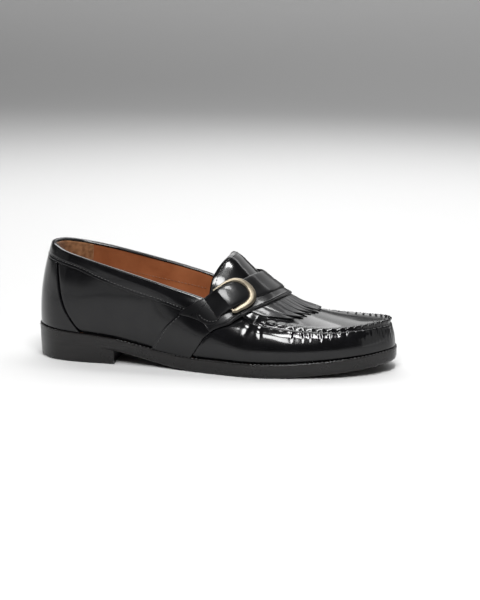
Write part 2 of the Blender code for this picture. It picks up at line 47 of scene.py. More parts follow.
# Driving sizes, as in the solids
SOLE_LENGTH = 270.0
HEEL_LENGTH = 67.0
TOP_BACK = 12.0
TOP_FRONT = 264.7
ARCH_POWER = 2.3
INSOLE_THICKNESS = 3.0
HEEL_DISH = 4.0
SADDLE_FOOT_Q = 1.98
STRAP_END_Q = 1.30
BAR_LIFT = 4.9
BAR_HEIGHT = 1.6

# Tops of the leathers above the skin of the upper, and the thickness of skin and lining
SKIN_THICKNESS = 1.0
LINING_DEPTH = 1.75
BAND_TOP = 1.05
SADDLE_TOP = 1.25
KILTIE_TOP = 1.15
STRAP_THICKNESS = 1.0
TAB_PANEL = 0.75

# How far sewn leathers sink into the skin, and how uneven their tops are
SINK = 0.15
UNEVEN = 0.05

# How far the middle of the buckle's bar lies inside the line between its ends
BAR_BOW = 0.04

# Height at which the collar's roll starts, how far skin and lining stay below the wall's top there,
# and where along the shoe the collar ends
ROLL_V = 0.970
COLLAR_DIP = 0.022
COLLAR_END = (0.47, 0.53)

# Sole edge from above: x, then the outer and inner edge's distance from the heel's centre line
OUTLINE = np.array(
    [
        (0.0, 0.0, 0.0), (6.0, 16.5, 16.5), (18.0, 26.3, 26.0), (38.0, 31.0, 30.5), (66.0, 31.5, 29.5),
        (95.0, 33.0, 27.0), (120.0, 37.0, 28.0), (145.0, 41.5, 33.5), (168.0, 44.5, 40.5),
        (190.0, 43.5, 45.5), (212.0, 39.0, 47.0), (234.0, 32.0, 44.5), (252.0, 21.5, 37.0),
        (263.0, 10.5, 27.5), (270.0, -6.5, 6.5),
    ]
)
# Heights of the sole's underside and upper face: x, tread, seat
SOLE = np.array(
    [
        (0.0, 16.0, 24.5), (30.0, 14.2, 22.8), (55.0, 12.2, 20.9), (67.0, 10.6, 19.5), (82.0, 7.4, 16.6),
        (98.0, 4.0, 13.5), (115.0, 1.4, 11.2), (132.0, 0.2, 10.1), (150.0, 0.0, 10.0), (180.0, 0.0, 10.0),
        (205.0, 1.2, 11.1), (225.0, 2.9, 12.6), (248.0, 5.2, 14.7), (270.0, 7.8, 17.0),
    ]
)
# Top of the wall, collar then apron seam: x, outer y and z, inner y and z
TOPLINE = np.array(
    [
        (12.0, 0.0, 86.0, 0.0, 86.0), (17.0, 12.5, 85.0, 12.5, 85.5), (28.0, 21.0, 81.5, 20.5, 83.0),
        (50.0, 26.0, 76.0, 24.5, 78.7), (80.0, 28.5, 68.3, 25.5, 72.2), (110.0, 29.5, 60.0, 26.0, 65.0),
        (136.0, 29.5, 52.5, 26.0, 57.0), (152.0, 30.0, 47.0, 27.0, 49.5), (168.0, 30.5, 40.0, 28.5, 42.0),
        (186.0, 30.5, 36.5, 30.0, 38.0), (206.0, 28.0, 34.0, 31.0, 35.5), (226.0, 23.5, 33.2, 30.5, 34.3),
        (245.0, 16.0, 34.8, 26.0, 34.6), (257.6, 7.0, 36.4, 18.5, 35.9), (264.7, -5.5, 37.2, 5.5, 37.2),
    ]
)
# Shape of the wall: x, how far it rounds over, how far it swells and its distance from the sole's edge
WALL_SHAPE = np.array(
    [
        (0.0, 0.30, 1.2, 1.8), (40.0, 0.25, 1.5, 1.9), (100.0, 0.25, 1.5, 1.9),
        (150.0, 0.45, 2.0, 2.0), (200.0, 0.70, 2.0, 2.2), (248.0, 0.60, 1.0, 1.9), (270.0, 0.15, 0.2, 1.1),
    ]
)
# Ridge of the instep: x, height, distance ahead of the wall's top
CREST = np.array(
    [
        (143.0, 79.5, 15.0), (149.0, 82.6, 15.0), (155.0, 80.2, 14.6), (162.0, 74.0, 13.5),
        (175.0, 62.2, 11.0), (190.0, 52.0, 7.0), (205.0, 43.5, 3.0), (220.0, 39.0, 1.0),
        (242.0, 36.3, 0.0), (255.0, 36.7, 0.0), (264.7, 37.2, 0.0),
    ]
)
# Rear edge of the tongue from the middle of the instep to the seams: q, t
TONGUE = np.array(
    [
        (0.0, 0.492), (0.28, 0.489), (0.44, 0.485), (0.58, 0.484), (0.70, 0.486), (0.80, 0.4895),
        (0.88, 0.4935), (1.0, 0.502),
    ]
)
# Lower edge of the collar band: t, v
BAND = np.array(
    [
        (0.0, 0.78), (0.085, 0.78), (0.159, 0.805), (0.233, 0.80), (0.289, 0.75),
        (0.357, 0.71), (0.419, 0.70), (0.464, 0.66), (0.500, 0.62),
    ]
)
# Front edge of the heel counter: v, t
COUNTER = np.array(
    [
        (0.0, 0.253), (0.13, 0.226), (0.21, 0.210), (0.35, 0.189),
        (0.57, 0.165), (0.74, 0.145), (0.85, 0.132),
    ]
)
# Edges of the saddle and of the strap: q, rear t, front t
SADDLE = np.array(
    [
        (-2.0, 0.408, 0.480), (-1.82, 0.420, 0.494), (-1.64, 0.433, 0.507), (-1.5, 0.446, 0.522),
        (-1.34, 0.461, 0.545), (-1.18, 0.478, 0.556), (-0.98, 0.496, 0.567), (-0.86, 0.503, 0.577),
        (-0.74, 0.517, 0.589), (-0.54, 0.537, 0.602), (-0.30, 0.545, 0.611), (0.0, 0.549, 0.617),
        (0.30, 0.548, 0.618), (0.54, 0.539, 0.609), (0.74, 0.519, 0.594), (0.86, 0.505, 0.580),
        (0.98, 0.497, 0.569), (1.18, 0.480, 0.557), (1.34, 0.463, 0.545), (1.5, 0.448, 0.523),
        (1.64, 0.435, 0.508), (1.82, 0.422, 0.495), (2.0, 0.410, 0.481),
    ]
)
STRAP = np.array(
    [
        (-1.1, 0.482, 0.541), (-0.89, 0.500, 0.555), (-0.74, 0.515, 0.564), (-0.54, 0.534, 0.578),
        (-0.38, 0.5395, 0.586), (-0.07, 0.547, 0.5945), (0.29, 0.547, 0.598), (0.54, 0.537, 0.590),
        (0.74, 0.519, 0.574), (0.90, 0.507, 0.560), (1.1, 0.491, 0.545), (1.34, 0.469, 0.526),
    ]
)
# Tips of the fringe: q, t
FRINGE = np.array(
    [
        (-0.88, 0.630), (-0.80, 0.652), (-0.70, 0.668), (-0.52, 0.677), (-0.26, 0.687), (0.0, 0.696),
        (0.26, 0.697), (0.52, 0.690), (0.72, 0.672), (0.82, 0.652), (0.88, 0.630),
    ]
)
# Middle line of the buckle's frame: t, q, width
FRAME = np.array(
    [
        (0.5020, -0.900, 1.8), (0.5072, -0.838, 2.0), (0.5130, -0.755, 2.3), (0.5210, -0.676, 2.9),
        (0.5327, -0.626, 3.7), (0.5460, -0.624, 4.5), (0.5573, -0.668, 5.2), (0.5632, -0.747, 5.6),
        (0.5620, -0.846, 5.2), (0.5555, -0.950, 4.2), (0.5490, -1.055, 3.0),
    ]
)
# Section of the buckle's frame, across and upwards, in halves of its width and height
FRAME_PROFILE = np.array(
    [(-1.0, -0.4), (-0.6, -1.0), (0.6, -1.0), (1.0, -0.4), (1.0, 0.1), (0.5, 1.0), (-0.5, 1.0), (-1.0, 0.1)]
)

# Creases on the outer (-1) and inner (1) wall: side, path of t and v, depth, width
CREASES = (
    (-1, ((0.579, 0.95), (0.583, 0.78), (0.577, 0.58)), 0.28, 1.5),
    (-1, ((0.605, 0.94), (0.603, 0.76), (0.605, 0.56)), 0.26, 1.2),
    (1, ((0.563, 0.93), (0.566, 0.75), (0.561, 0.56)), 0.24, 1.5),
    (1, ((0.590, 0.95), (0.593, 0.78), (0.588, 0.60)), 0.28, 1.5),
    (-1, ((0.395, 0.62), (0.402, 0.40), (0.392, 0.20)), 0.20, 3.5),
    (1, ((0.397, 0.62), (0.404, 0.40), (0.394, 0.20)), 0.20, 3.5),
)
# Folds that run down from the apron seam, steep on one side only
FOLDS = (
    (-1, ((0.664, 0.97), (0.666, 0.80), (0.665, 0.56)), 0.20, 1.3),
    (-1, ((0.685, 0.97), (0.684, 0.82), (0.687, 0.58)), 0.22, 1.3),
    (-1, ((0.702, 0.97), (0.700, 0.82), (0.702, 0.60)), 0.18, 1.2),
    (-1, ((0.725, 0.97), (0.724, 0.82), (0.726, 0.58)), 0.22, 1.3),
    (-1, ((0.747, 0.97), (0.748, 0.84), (0.746, 0.62)), 0.18, 1.2),
    (-1, ((0.768, 0.97), (0.769, 0.86), (0.767, 0.68)), 0.14, 1.2),
    (-1, ((0.788, 0.97), (0.789, 0.86), (0.787, 0.70)), 0.12, 1.1),
    (1, ((0.640, 0.97), (0.643, 0.80), (0.640, 0.60)), 0.20, 1.3),
    (1, ((0.690, 0.97), (0.688, 0.82), (0.690, 0.64)), 0.18, 1.2),
    (1, ((0.716, 0.97), (0.717, 0.84), (0.715, 0.64)), 0.16, 1.2),
    (1, ((0.742, 0.97), (0.744, 0.84), (0.741, 0.66)), 0.18, 1.2),
)


# The shoe's surfaces


def spline(knots, values):
    """A smooth curve through the values: cubic pieces with slopes taken from the neighbouring knots."""
    slopes = np.gradient(values, knots)

    def at(x):
        x = np.clip(x, knots[0], knots[-1])
        i = np.clip(np.searchsorted(knots, x, side="right") - 1, 0, len(knots) - 2)
        h = knots[i + 1] - knots[i]
        s = (x - knots[i]) / h
        start = (1 + 2 * s) * (1 - s) ** 2 * values[i] + s * (1 - s) ** 2 * h * slopes[i]
        end = s**2 * (3 - 2 * s) * values[i + 1] - s**2 * (1 - s) * h * slopes[i + 1]
        return start + end

    return at


def curves(table):
    """Smooth curves over a table's first column, one for each of the others."""
    return [spline(table[:, 0], column) for column in table.T[1:]]


def eased(t):
    """Position from heel to toe, 0 to 1, for a parameter t that slows down at both round ends."""
    return (1 - np.cos(np.pi * t)) / 2


def uneased(share):
    return np.arccos(np.clip(1 - 2 * share, -1, 1)) / np.pi


def smooth(x, start, end):
    s = np.clip((x - start) / (end - start), 0, 1)
    return s * s * (3 - 2 * s)


def within(x, start, full, fade, end):
    """1 between two places, with a slow start and a slow end."""
    return smooth(x, start, full) * (1 - smooth(x, fade, end))


def bell(way, place, height, width):
    """Soft ridge at a place along the way, or a groove where its height is negative."""
    return height * np.exp(-(((way - place) / width) ** 2))


def unit(vectors):
    return vectors / np.maximum(np.linalg.norm(vectors, axis=-1, keepdims=True), 1e-9)


def closed_curve(t, outer, inner):
    """A smooth closed curve over tau: negative on the outer side, 0 at the heel, -1 and 1 at the toe."""
    knots = np.concatenate([-t[:0:-1], t[:-1]])
    values = np.concatenate([outer[:0:-1], inner[:-1]])
    return spline(np.concatenate([knots - 2, knots, knots + 2]), np.concatenate([values] * 3))


TOP_T = uneased((TOPLINE[:, 0] - TOP_BACK) / (TOP_FRONT - TOP_BACK))
OUTLINE_Y = closed_curve(uneased(OUTLINE[:, 0] / SOLE_LENGTH), -OUTLINE[:, 1], OUTLINE[:, 2])
TOP_Y = closed_curve(TOP_T, -TOPLINE[:, 1], TOPLINE[:, 3])
TOP_Z = closed_curve(TOP_T, TOPLINE[:, 2], TOPLINE[:, 4])
TREAD, SEAT = curves(SOLE)
ROUND, SWELL, MARGIN = curves(WALL_SHAPE)
CREST_Z = spline(CREST[:, 0], CREST[:, 1])
LAG = spline(CREST[:, 0] - CREST[:, 2], CREST[:, 2])
SADDLE_REAR, SADDLE_FRONT = curves(SADDLE)
STRAP_REAR, STRAP_FRONT = curves(STRAP)
TONGUE_T, BAND_V, COUNTER_T, FRINGE_T = (spline(*table.T) for table in (TONGUE, BAND, COUNTER, FRINGE))

# Spans over which outward directions are taken: t and q on the skin, tau and v on the wall
SKIN_SPAN = (0.004, 0.12)
WALL_SPAN = (0.002, 0.02)


def outline(tau, inset=0.0):
    """Point of the sole's edge, moved inwards by inset, and the outward direction there."""
    step = 1e-4

    def edge(at):
        return np.stack([SOLE_LENGTH * eased(np.abs(at)), OUTLINE_Y(at)], -1)

    along = edge(tau + step) - edge(tau - step)
    normal = unit(np.stack([-along[..., 1], along[..., 0]], -1))
    return edge(tau) - normal * np.asarray(inset)[..., None], normal


def wall(tau, v):
    """Outer face of the upper's wall: v runs from 0 at the sole to 1 at the collar or apron seam."""
    foot, outward = outline(tau, MARGIN(SOLE_LENGTH * eased(np.abs(tau))))
    x = foot[..., 0]
    top_x = TOP_BACK + (TOP_FRONT - TOP_BACK) * eased(np.abs(tau))
    turn = v * np.pi / 2
    share = ROUND(x)
    inward = (1 - share) * v**1.4 + share * (1 - np.cos(turn))
    upward = (1 - share) * v + share * np.sin(turn)
    swell = SWELL(x) * np.sin(np.pi * v**0.8)
    return np.stack(
        [
            x + (top_x - x) * inward + outward[..., 0] * swell,
            foot[..., 1] + (TOP_Y(tau) - foot[..., 1]) * inward + outward[..., 1] * swell,
            SEAT(x) + (TOP_Z(tau) - SEAT(x)) * upward,
        ],
        -1,
    )


def instep(t, w):
    """Top of the foot from the throat to the toe: w runs from -1 at the outer seam to 1 at the inner."""
    one = np.ones_like(w)
    outer, inner = wall(-t, one), wall(t, one)
    middle = (outer + inner) / 2
    lag = LAG(middle[..., 0])
    rise = CREST_Z(middle[..., 0] + lag) - middle[..., 2]
    arch = 1 - np.abs(w) ** ARCH_POWER
    point = middle + (inner - outer) / 2 * w[..., None]
    point[..., 0] += lag * arch
    point[..., 2] += rise * arch
    return point


def skin(t, q):
    """Section of the upper at t: q is -2 at the outer sole, -1 and 1 at the seams, 2 at the inner sole."""
    t, q = np.broadcast_arrays(np.asarray(t, float), np.asarray(q, float))
    side = wall(np.where(q < 0, -t, t), np.clip(2 - np.abs(q), 0, 1))
    top = instep(t, np.clip(q, -1, 1))
    return np.where((np.abs(q) >= 1)[..., None], side, top)


def skin_frame(t, q):
    """Point of the skin with the outward direction there, taken over a span that smooths out the seam."""
    step, turn = SKIN_SPAN
    along = skin(t + step, q) - skin(t - step, q)
    around = skin(t, q + turn) - skin(t, q - turn)
    return skin(t, q), unit(np.cross(along, around))


def wall_frame(tau, v):
    """Point of the wall with the outward direction there."""
    step, rise = WALL_SPAN
    along = wall(tau + step, v) - wall(tau - step, v)
    up = wall(tau, v) - wall(tau, v - rise)
    return wall(tau, v), unit(np.cross(up, along))


def lifted(framed, lift):
    """Points moved outwards by a lift in millimetres."""
    point, normal = framed
    return point + normal * np.asarray(lift)[..., None]


# Meshes


def grid(rows, columns):
    """Faces of a grid whose points run row by row; rows then columns turn outwards."""
    start = np.arange(rows - 1)[:, None] * columns + np.arange(columns - 1)
    corners = [start, start + columns, start + columns + 1, start + 1]
    return [tuple(face) for face in np.stack(corners, -1).reshape(-1, 4).tolist()]


def sheet_normals(points, faces):
    """Outward direction at each point of an open sheet, averaged over the faces around it."""
    normals = np.zeros_like(points)
    for size in (3, 4):
        group = np.array([face for face in faces if len(face) == size], int)
        if len(group):
            corners = points[group]
            across = np.cross(corners, np.roll(corners, -1, axis=1)).sum(axis=1)
            for k in range(size):
                np.add.at(normals, group[:, k], across)
    return unit(normals)


def border_of(faces):
    edges = {edge for face in faces for edge in zip(face, face[1:] + face[:1])}
    return sorted((i, j) for i, j in edges if (j, i) not in edges)


def shell(faces, levels):
    """Closed body: the first and last copy of a sheet, joined along its border through those between."""
    count = len(levels[0])
    last = (len(levels) - 1) * count
    body = list(faces) + [tuple(i + last for i in reversed(face)) for face in faces]
    for i, j in border_of(faces):
        for start in range(0, last, count):
            body.append((j + start, i + start, i + start + count, j + start + count))
    return np.concatenate(levels), body


def leather(points, faces, low, high, bulge=0.6, steps=6):
    """Piece of leather between two heights over a sheet, with its cut edges rounded outwards."""
    points = points.reshape(-1, 3)
    low = np.broadcast_to(np.asarray(low, float).reshape(-1, 1), (len(points), 1))
    high = np.broadcast_to(np.asarray(high, float).reshape(-1, 1), (len(points), 1))
    normals = sheet_normals(points, faces)
    reach = np.zeros_like(points)
    for i, j in border_of(faces):
        out = np.cross(points[j] - points[i], normals[i] + normals[j])
        reach[i] += out
        reach[j] += out
    reach = unit(reach)
    half = (high - low) / 2
    levels = [
        points + normals * (low + half * (1 + np.cos(turn))) + reach * half * bulge * np.sin(turn)
        for turn in np.linspace(0, np.pi, steps)
    ]
    rim = np.repeat([0.0] + [1.0] * (steps - 2) + [0.0], len(points))
    return (*shell(faces, levels), rim)


def plate(stations, shares, levels, dish=0.0):
    """Flat body within the sole's edge: stations run from the heel on, shares from edge to edge.

    Each level gives the inset from the edge and the height as functions of x. Dish hollows the front end.
    """
    closed = stations[-1] == 1.0
    inside = stations[1:-1] if closed else stations[1:]
    sheets = []
    for inset, height in levels:
        x = SOLE_LENGTH * eased(inside)
        outer, inner = outline(-inside, inset(x))[0], outline(inside, inset(x))[0]
        rows = outer[:, None] + (inner - outer)[:, None] * (shares[None, :, None] + 1) / 2
        rows[..., 0] -= dish * (1 - shares**2) * (inside[:, None] / inside[-1]) ** 6
        ends = outline(np.array([0.0, 1.0]), inset(np.array([0.0, SOLE_LENGTH])))[0]
        flat = np.concatenate([ends[:1], rows.reshape(-1, 2), ends[1:]])
        sheets.append(np.column_stack([flat, height(flat[:, 0])]))
    columns = len(shares)
    faces = [tuple(i + 1 for i in face) for face in grid(len(inside), columns)]
    faces += [(0, c + 1, c + 2) for c in range(columns - 1)]
    if closed:
        front = (len(inside) - 1) * columns + 1
        toe = len(sheets[0]) - 1
        faces += [(front + c, toe, front + c + 1) for c in range(columns - 1)]
    under = np.repeat(np.arange(len(levels)) == len(levels) - 1, len(sheets[0])).astype(float)
    return (*shell(faces, sheets), under)


EDGE = outline(np.linspace(-1, 1, 2001))[0]
MIDDLE = np.array([*(EDGE.max(axis=0) + EDGE.min(axis=0)) / 2, 0.0])


def in_frame(points):
    """Points in metres, in the frame of the part."""
    return ((points - MIDDLE) * MM).tolist()


def place_object(name, data):
    made = bpy.data.objects.new(name, data)
    bpy.context.scene.collection.objects.link(made)
    return made


def settle(name, mesh, replaced=()):
    """The mesh as a named piece of the shoe."""
    piece = place_object(name, mesh)
    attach(piece, "root")
    if replaced:
        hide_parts(*replaced)


def add_piece(name, body, finish, replaced=(), mask="rim", sharp=60.0):
    """A piece of the shoe from a closed body: the mask marks its cut edges or its underside."""
    points, faces = body[:2]
    used = sorted({i for face in faces for i in face})
    place = {old: new for new, old in enumerate(used)}
    mesh = bpy.data.meshes.new(name)
    mesh.from_pydata(in_frame(points[used]), [], [[place[i] for i in face] for face in faces])
    work = bmesh.new()
    work.from_mesh(mesh)
    bmesh.ops.recalc_face_normals(work, faces=work.faces[:])
    work.to_mesh(mesh)
    work.free()
    if len(body) > 2:
        layer = mesh.attributes.new(mask, "FLOAT", "POINT")
        layer.data.foreach_set("value", body[2][used].astype(np.float32))
    mesh.shade_smooth()
    mesh.set_sharp_from_angle(angle=np.radians(sharp))
    mesh.materials.append(finish)
    settle(name, mesh, replaced)


# Node trees

FLOAT, VECTOR = "NodeSocketFloat", "NodeSocketVector"
GEOMETRY, MATERIAL = "NodeSocketGeometry", "NodeSocketMaterial"


def plug(tree, made, inputs):
    """Sets or links the inputs of a node."""
    for key, value in inputs.items():
        if isinstance(value, bpy.types.NodeSocket):
            tree.links.new(value, made.inputs[key])
        else:
            made.inputs[key].default_value = value


def node(tree, kind, inputs=None, **settings):
    """A node with its settings, its plain values and its links in one call."""
    made = tree.nodes.new(kind)
    for key, value in settings.items():
        setattr(made, key, value)
    plug(tree, made, inputs or {})
    return made


def group_tree(name, kind, inputs, outputs):
    tree = bpy.data.node_groups.new(name, kind)
    for label, socket, value in inputs:
        made = tree.interface.new_socket(label, in_out="INPUT", socket_type=socket)
        if value is not None:
            made.default_value = value
    for label, socket in outputs:
        tree.interface.new_socket(label, in_out="OUTPUT", socket_type=socket)
    return tree, tree.nodes.new("NodeGroupInput").outputs, tree.nodes.new("NodeGroupOutput")


def math_node(tree, operation, first, second=0.0):
    return node(tree, "ShaderNodeMath", {0: first, 1: second}, operation=operation).outputs[0]


# Finishes

# Cut edges of leather: their tone as a share of the light tone, and how much rougher they are
CUT_TONE = 0.8
CUT_ROUGHNESS = 0.18
WAX_ROUGHNESS = 0.09
LEATHER_SPECULAR = 0.22
# How much rougher the undersides of sole and heel are than their edges
UNDER_ROUGHNESS = 0.25


def noise(tree, vector, scale, detail, **more):
    inputs = {"Vector": vector, "Scale": scale, "Detail": detail, **more}
    return node(tree, "ShaderNodeTexNoise", inputs).outputs["Fac"]


def hide_group():
    """Leather surface: closely packed pores, fine hair creases and slow clouds of tone."""
    tree, given, end = group_tree(
        "hide",
        "ShaderNodeTree",
        [("Vector", VECTOR, None), ("Pores", FLOAT, 1500.0), ("Clouds", FLOAT, 60.0)],
        [("Grain", FLOAT), ("Cloud", FLOAT)],
    )
    vector = given["Vector"]
    creases = noise(tree, vector, 900.0, 2.0)
    cells = node(tree, "ShaderNodeTexVoronoi", {"Vector": vector, "Scale": given["Pores"]}, feature="F1")
    pits = math_node(tree, "POWER", cells.outputs["Distance"], 1.6)
    grain = math_node(tree, "ADD", math_node(tree, "MULTIPLY", pits, -0.7), creases)
    cloud = noise(tree, vector, given["Clouds"], 5.0, Roughness=0.6)
    plug(tree, end, {"Grain": grain, "Cloud": cloud})
    return tree


def fibre_group():
    """Fibrous surface: short nap and strands for suede, cut edges and thread."""
    tree, given, end = group_tree(
        "fibre",
        "ShaderNodeTree",
        [("Vector", VECTOR, None), ("Strands", FLOAT, 1200.0), ("Blotches", FLOAT, 160.0)],
        [("Nap", FLOAT), ("Blotch", FLOAT)],
    )
    nap = noise(tree, given["Vector"], given["Strands"], 3.0, Roughness=0.7, Distortion=0.6)
    blotch = noise(tree, given["Vector"], given["Blotches"], 4.0, Roughness=0.65)
    plug(tree, end, {"Nap": nap, "Blotch": blotch})
    return tree


HIDE = hide_group()
FIBRE = fibre_group()


def ramp(tree, factor, low, high, start=0.3, end=0.7):
    """Colours between two tones as the factor rises from start to end."""
    made = node(tree, "ShaderNodeValToRGB", {"Fac": factor})
    for element, position, tone in zip(made.color_ramp.elements, (start, end), (low, high)):
        element.position = position
        element.color = (*tone, 1.0)
    return made.outputs["Color"]


def spread(tree, factor, low, high, start=0.3, end=0.7):
    """Values between low and high as the factor rises from start to end."""
    span = {"Value": factor, "From Min": start, "From Max": end, "To Min": low, "To Max": high}
    return node(tree, "ShaderNodeMapRange", span).outputs["Result"]


def mixed(tree, factor, first, second):
    """Colour between two colours."""
    return node(tree, "ShaderNodeMix", {0: factor, 6: first, 7: second}, data_type="RGBA").outputs[2]


def toned(colour, share):
    return tuple(share * value for value in colour)


def bump(tree, height, depth):
    """Direction of a surface raised by a depth in millimetres."""
    inputs = {"Height": height, "Strength": 1.0, "Distance": depth * MM}
    return node(tree, "ShaderNodeBump", inputs).outputs["Normal"]


def mask_value(tree, name):
    return node(tree, "ShaderNodeAttribute", attribute_name=name).outputs["Fac"]


def pattern(tree, group, stretch=None, **scales):
    """A shared surface group on the piece's own coordinates, stretched where asked, with its own scales."""
    vector = node(tree, "ShaderNodeTexCoord").outputs["Object"]
    if stretch:
        vector = node(tree, "ShaderNodeMapping", {"Vector": vector, "Scale": stretch}).outputs["Vector"]
    return node(tree, "ShaderNodeGroup", {"Vector": vector, **scales}, node_tree=group).outputs


def new_finish(name):
    made = bpy.data.materials.new(name)
    made.use_nodes = True
    tree = made.node_tree
    tree.nodes.clear()
    shader = tree.nodes.new("ShaderNodeBsdfPrincipled")
    node(tree, "ShaderNodeOutputMaterial", {"Surface": shader.outputs["BSDF"]})
    return made, tree, shader


def leather_finish(name, dark, light, gloss, grain, pores, clouds, wax=(0.0, 0.1), sheen=0.0):
    """Smooth leather: two tones, spans of roughness and of wax coat, pores by bump, and a duller cut edge."""
    made, tree, shader = new_finish(name)
    hide = pattern(tree, HIDE, Pores=pores, Clouds=clouds)
    cut = math_node(tree, "MULTIPLY", mask_value(tree, "rim"), hide["Cloud"])
    tone = ramp(tree, hide["Cloud"], dark, light)
    rough = spread(tree, hide["Cloud"], *gloss)
    looks = {
        "Base Color": mixed(tree, cut, tone, (*toned(light, CUT_TONE), 1.0)),
        "Roughness": math_node(tree, "ADD", rough, math_node(tree, "MULTIPLY", cut, CUT_ROUGHNESS)),
        "Normal": bump(tree, hide["Grain"], grain),
        "Coat Weight": spread(tree, hide["Cloud"], *wax),
        "Coat Roughness": WAX_ROUGHNESS,
        "Specular IOR Level": LEATHER_SPECULAR,
        "Sheen Weight": sheen,
    }
    plug(tree, shader, looks)
    return made


def fibre_finish(name, dark, light, gloss, nap, strands, blotches, span=(0.3, 0.7), **plain):
    """Suede or waxed thread: blotches of two tones, with the nap by roughness and bump."""
    made, tree, shader = new_finish(name)
    fibre = pattern(tree, FIBRE, Strands=strands, Blotches=blotches)
    looks = {
        "Base Color": ramp(tree, fibre["Blotch"], dark, light, *span),
        "Roughness": spread(tree, fibre["Nap"], *gloss),
        "Normal": bump(tree, fibre["Nap"], nap),
    }
    plug(tree, shader, {**looks, **plain})
    return made


def sole_finish(name, edge, under, layers):
    """Burnished edge with the fine level lines of pressed leather, and a paler brushed underside."""
    made, tree, shader = new_finish(name)
    hide = pattern(tree, HIDE, Pores=900.0, Clouds=45.0)
    fibre = pattern(tree, FIBRE, stretch=(0.06, 0.06, 1.0), Strands=layers, Blotches=260.0)
    below = mask_value(tree, "under")
    dark = ramp(tree, fibre["Nap"], toned(edge, 0.7), toned(edge, 1.4))
    pale = ramp(tree, hide["Cloud"], toned(under, 0.75), under)
    rough = spread(tree, hide["Cloud"], 0.22, 0.36)
    pores = math_node(tree, "MULTIPLY", hide["Grain"], 0.4)
    looks = {
        "Base Color": mixed(tree, below, dark, pale),
        "Roughness": math_node(tree, "ADD", rough, math_node(tree, "MULTIPLY", below, UNDER_ROUGHNESS)),
        "Normal": bump(tree, math_node(tree, "ADD", pores, fibre["Nap"]), 0.06),
        "Specular IOR Level": 0.34,
    }
    plug(tree, shader, looks)
    return made


def gold_finish():
    """Pale gold plate with faint polishing lines."""
    made, tree, shader = new_finish("pale_gold")
    fibre = pattern(tree, FIBRE, stretch=(1.0, 0.15, 1.0), Strands=2600.0, Blotches=90.0)
    looks = {
        "Base Color": ramp(tree, fibre["Blotch"], (0.125, 0.106, 0.079), (0.17, 0.148, 0.112)),
        "Roughness": spread(tree, fibre["Blotch"], 0.34, 0.44),
        "Normal": bump(tree, fibre["Nap"], 0.006),
        "Metallic": 1.0,
    }
    plug(tree, shader, looks)
    return made


POLISHED = leather_finish(
    "polished_black",
    dark=(0.0010, 0.0010, 0.0013),
    light=(0.0028, 0.0028, 0.0034),
    gloss=(0.14, 0.21),
    grain=0.003,
    pores=1700.0,
    clouds=60.0,
    wax=(0.46, 0.34),
)
STRAP_BLACK = leather_finish(
    "strap_black",
    dark=(0.0012, 0.0012, 0.0015),
    light=(0.0032, 0.0032, 0.0038),
    gloss=(0.27, 0.35),
    grain=0.005,
    pores=1700.0,
    clouds=60.0,
    wax=(0.26, 0.16),
)
FRINGE_BLACK = leather_finish(
    "fringe_black",
    dark=(0.006, 0.006, 0.0065),
    light=(0.014, 0.014, 0.015),
    gloss=(0.28, 0.40),
    grain=0.012,
    pores=1500.0,
    clouds=90.0,
    wax=(0.30, 0.15),
)
TAN = leather_finish(
    "tan_lining",
    dark=(0.195, 0.058, 0.019),
    light=(0.262, 0.087, 0.031),
    gloss=(0.42, 0.56),
    grain=0.03,
    pores=1100.0,
    clouds=70.0,
    sheen=0.1,
)
TAN_SOCK = leather_finish(
    "tan_sock",
    dark=(0.165, 0.050, 0.021),
    light=(0.22, 0.075, 0.034),
    gloss=(0.4, 0.55),
    grain=0.03,
    pores=1000.0,
    clouds=55.0,
)
SUEDE = fibre_finish(
    "suede_grip",
    dark=(0.14, 0.060, 0.024),
    light=(0.30, 0.15, 0.068),
    gloss=(0.8, 0.97),
    nap=0.25,
    strands=1400.0,
    blotches=220.0,
    span=(0.35, 0.68),
    **{"Sheen Weight": 0.35, "Sheen Roughness": 0.4, "Specular IOR Level": 0.2},
)
THREAD = {"gloss": (0.32, 0.5), "nap": 0.08, "strands": 4000.0, "blotches": 700.0}
# Black thread whose two tones are lighter than the thread's own colour. This is a painted sheen for the light
# that the stitches catch; the blotches between the two tones are real.
BLACK_THREAD_PAINTED_SHEEN = fibre_finish("black_thread_painted_sheen", (0.014, 0.014, 0.014), (0.05, 0.05, 0.05), **THREAD)
TAN_THREAD = fibre_finish("tan_thread", (0.10, 0.032, 0.012), (0.20, 0.075, 0.030), **THREAD)
SOLE_FINISH = sole_finish("burnished_sole", (0.008, 0.0075, 0.0075), (0.035, 0.028, 0.024), 900.0)
HEEL_FINISH = sole_finish("burnished_heel", (0.008, 0.0075, 0.0075), (0.02, 0.02, 0.02), 700.0)
GOLD = gold_finish()


# Upper, with its apron seam

# Puckers of the seam: pitch at the toe, how much longer it grows, and over which ways back from the toe
PUCKER_PITCH = 5.0
PITCH_GROWTH = 2.3
PITCH_SPAN = (20.0, 55.0)
PUCKER_AMOUNT = RANDOM.uniform(0.55, 1.0, (2, 60))
# Marks along the seam, and where its ridge rises out of the wall
SEAM_MARKS = np.linspace(0.48, 1.0, 1200)
SEAM_START = (0.57, 0.61)

# Relief beside the seam, by the way from it: place, height, width
RIDGE = (0.0, 1.6, 1.7)
VALLEY = (3.1, -0.4, 0.8)
NUBS = (4.8, 0.42, 1.1)
SHOULDER = (11.0, 0.45, 4.0)
# Waves below the nubs, ripples round the toe with the sway of their pitch, and dimples on the apron
WAVE_HEIGHT = 0.22
RIPPLE_HEIGHT = 0.10
RIPPLE_RATE = 430.0
RIPPLE_SWAY = 3.0
SWAY_RATE = 37.0
DIMPLE_HEIGHT = 0.3
DIMPLE_REACH = 2.5

# Ridges beside a crease as a share of its depth, and height of a fold's step as a multiple of its depth
CREASE_RIDGE = 0.4
FOLD_STEP = 2.3

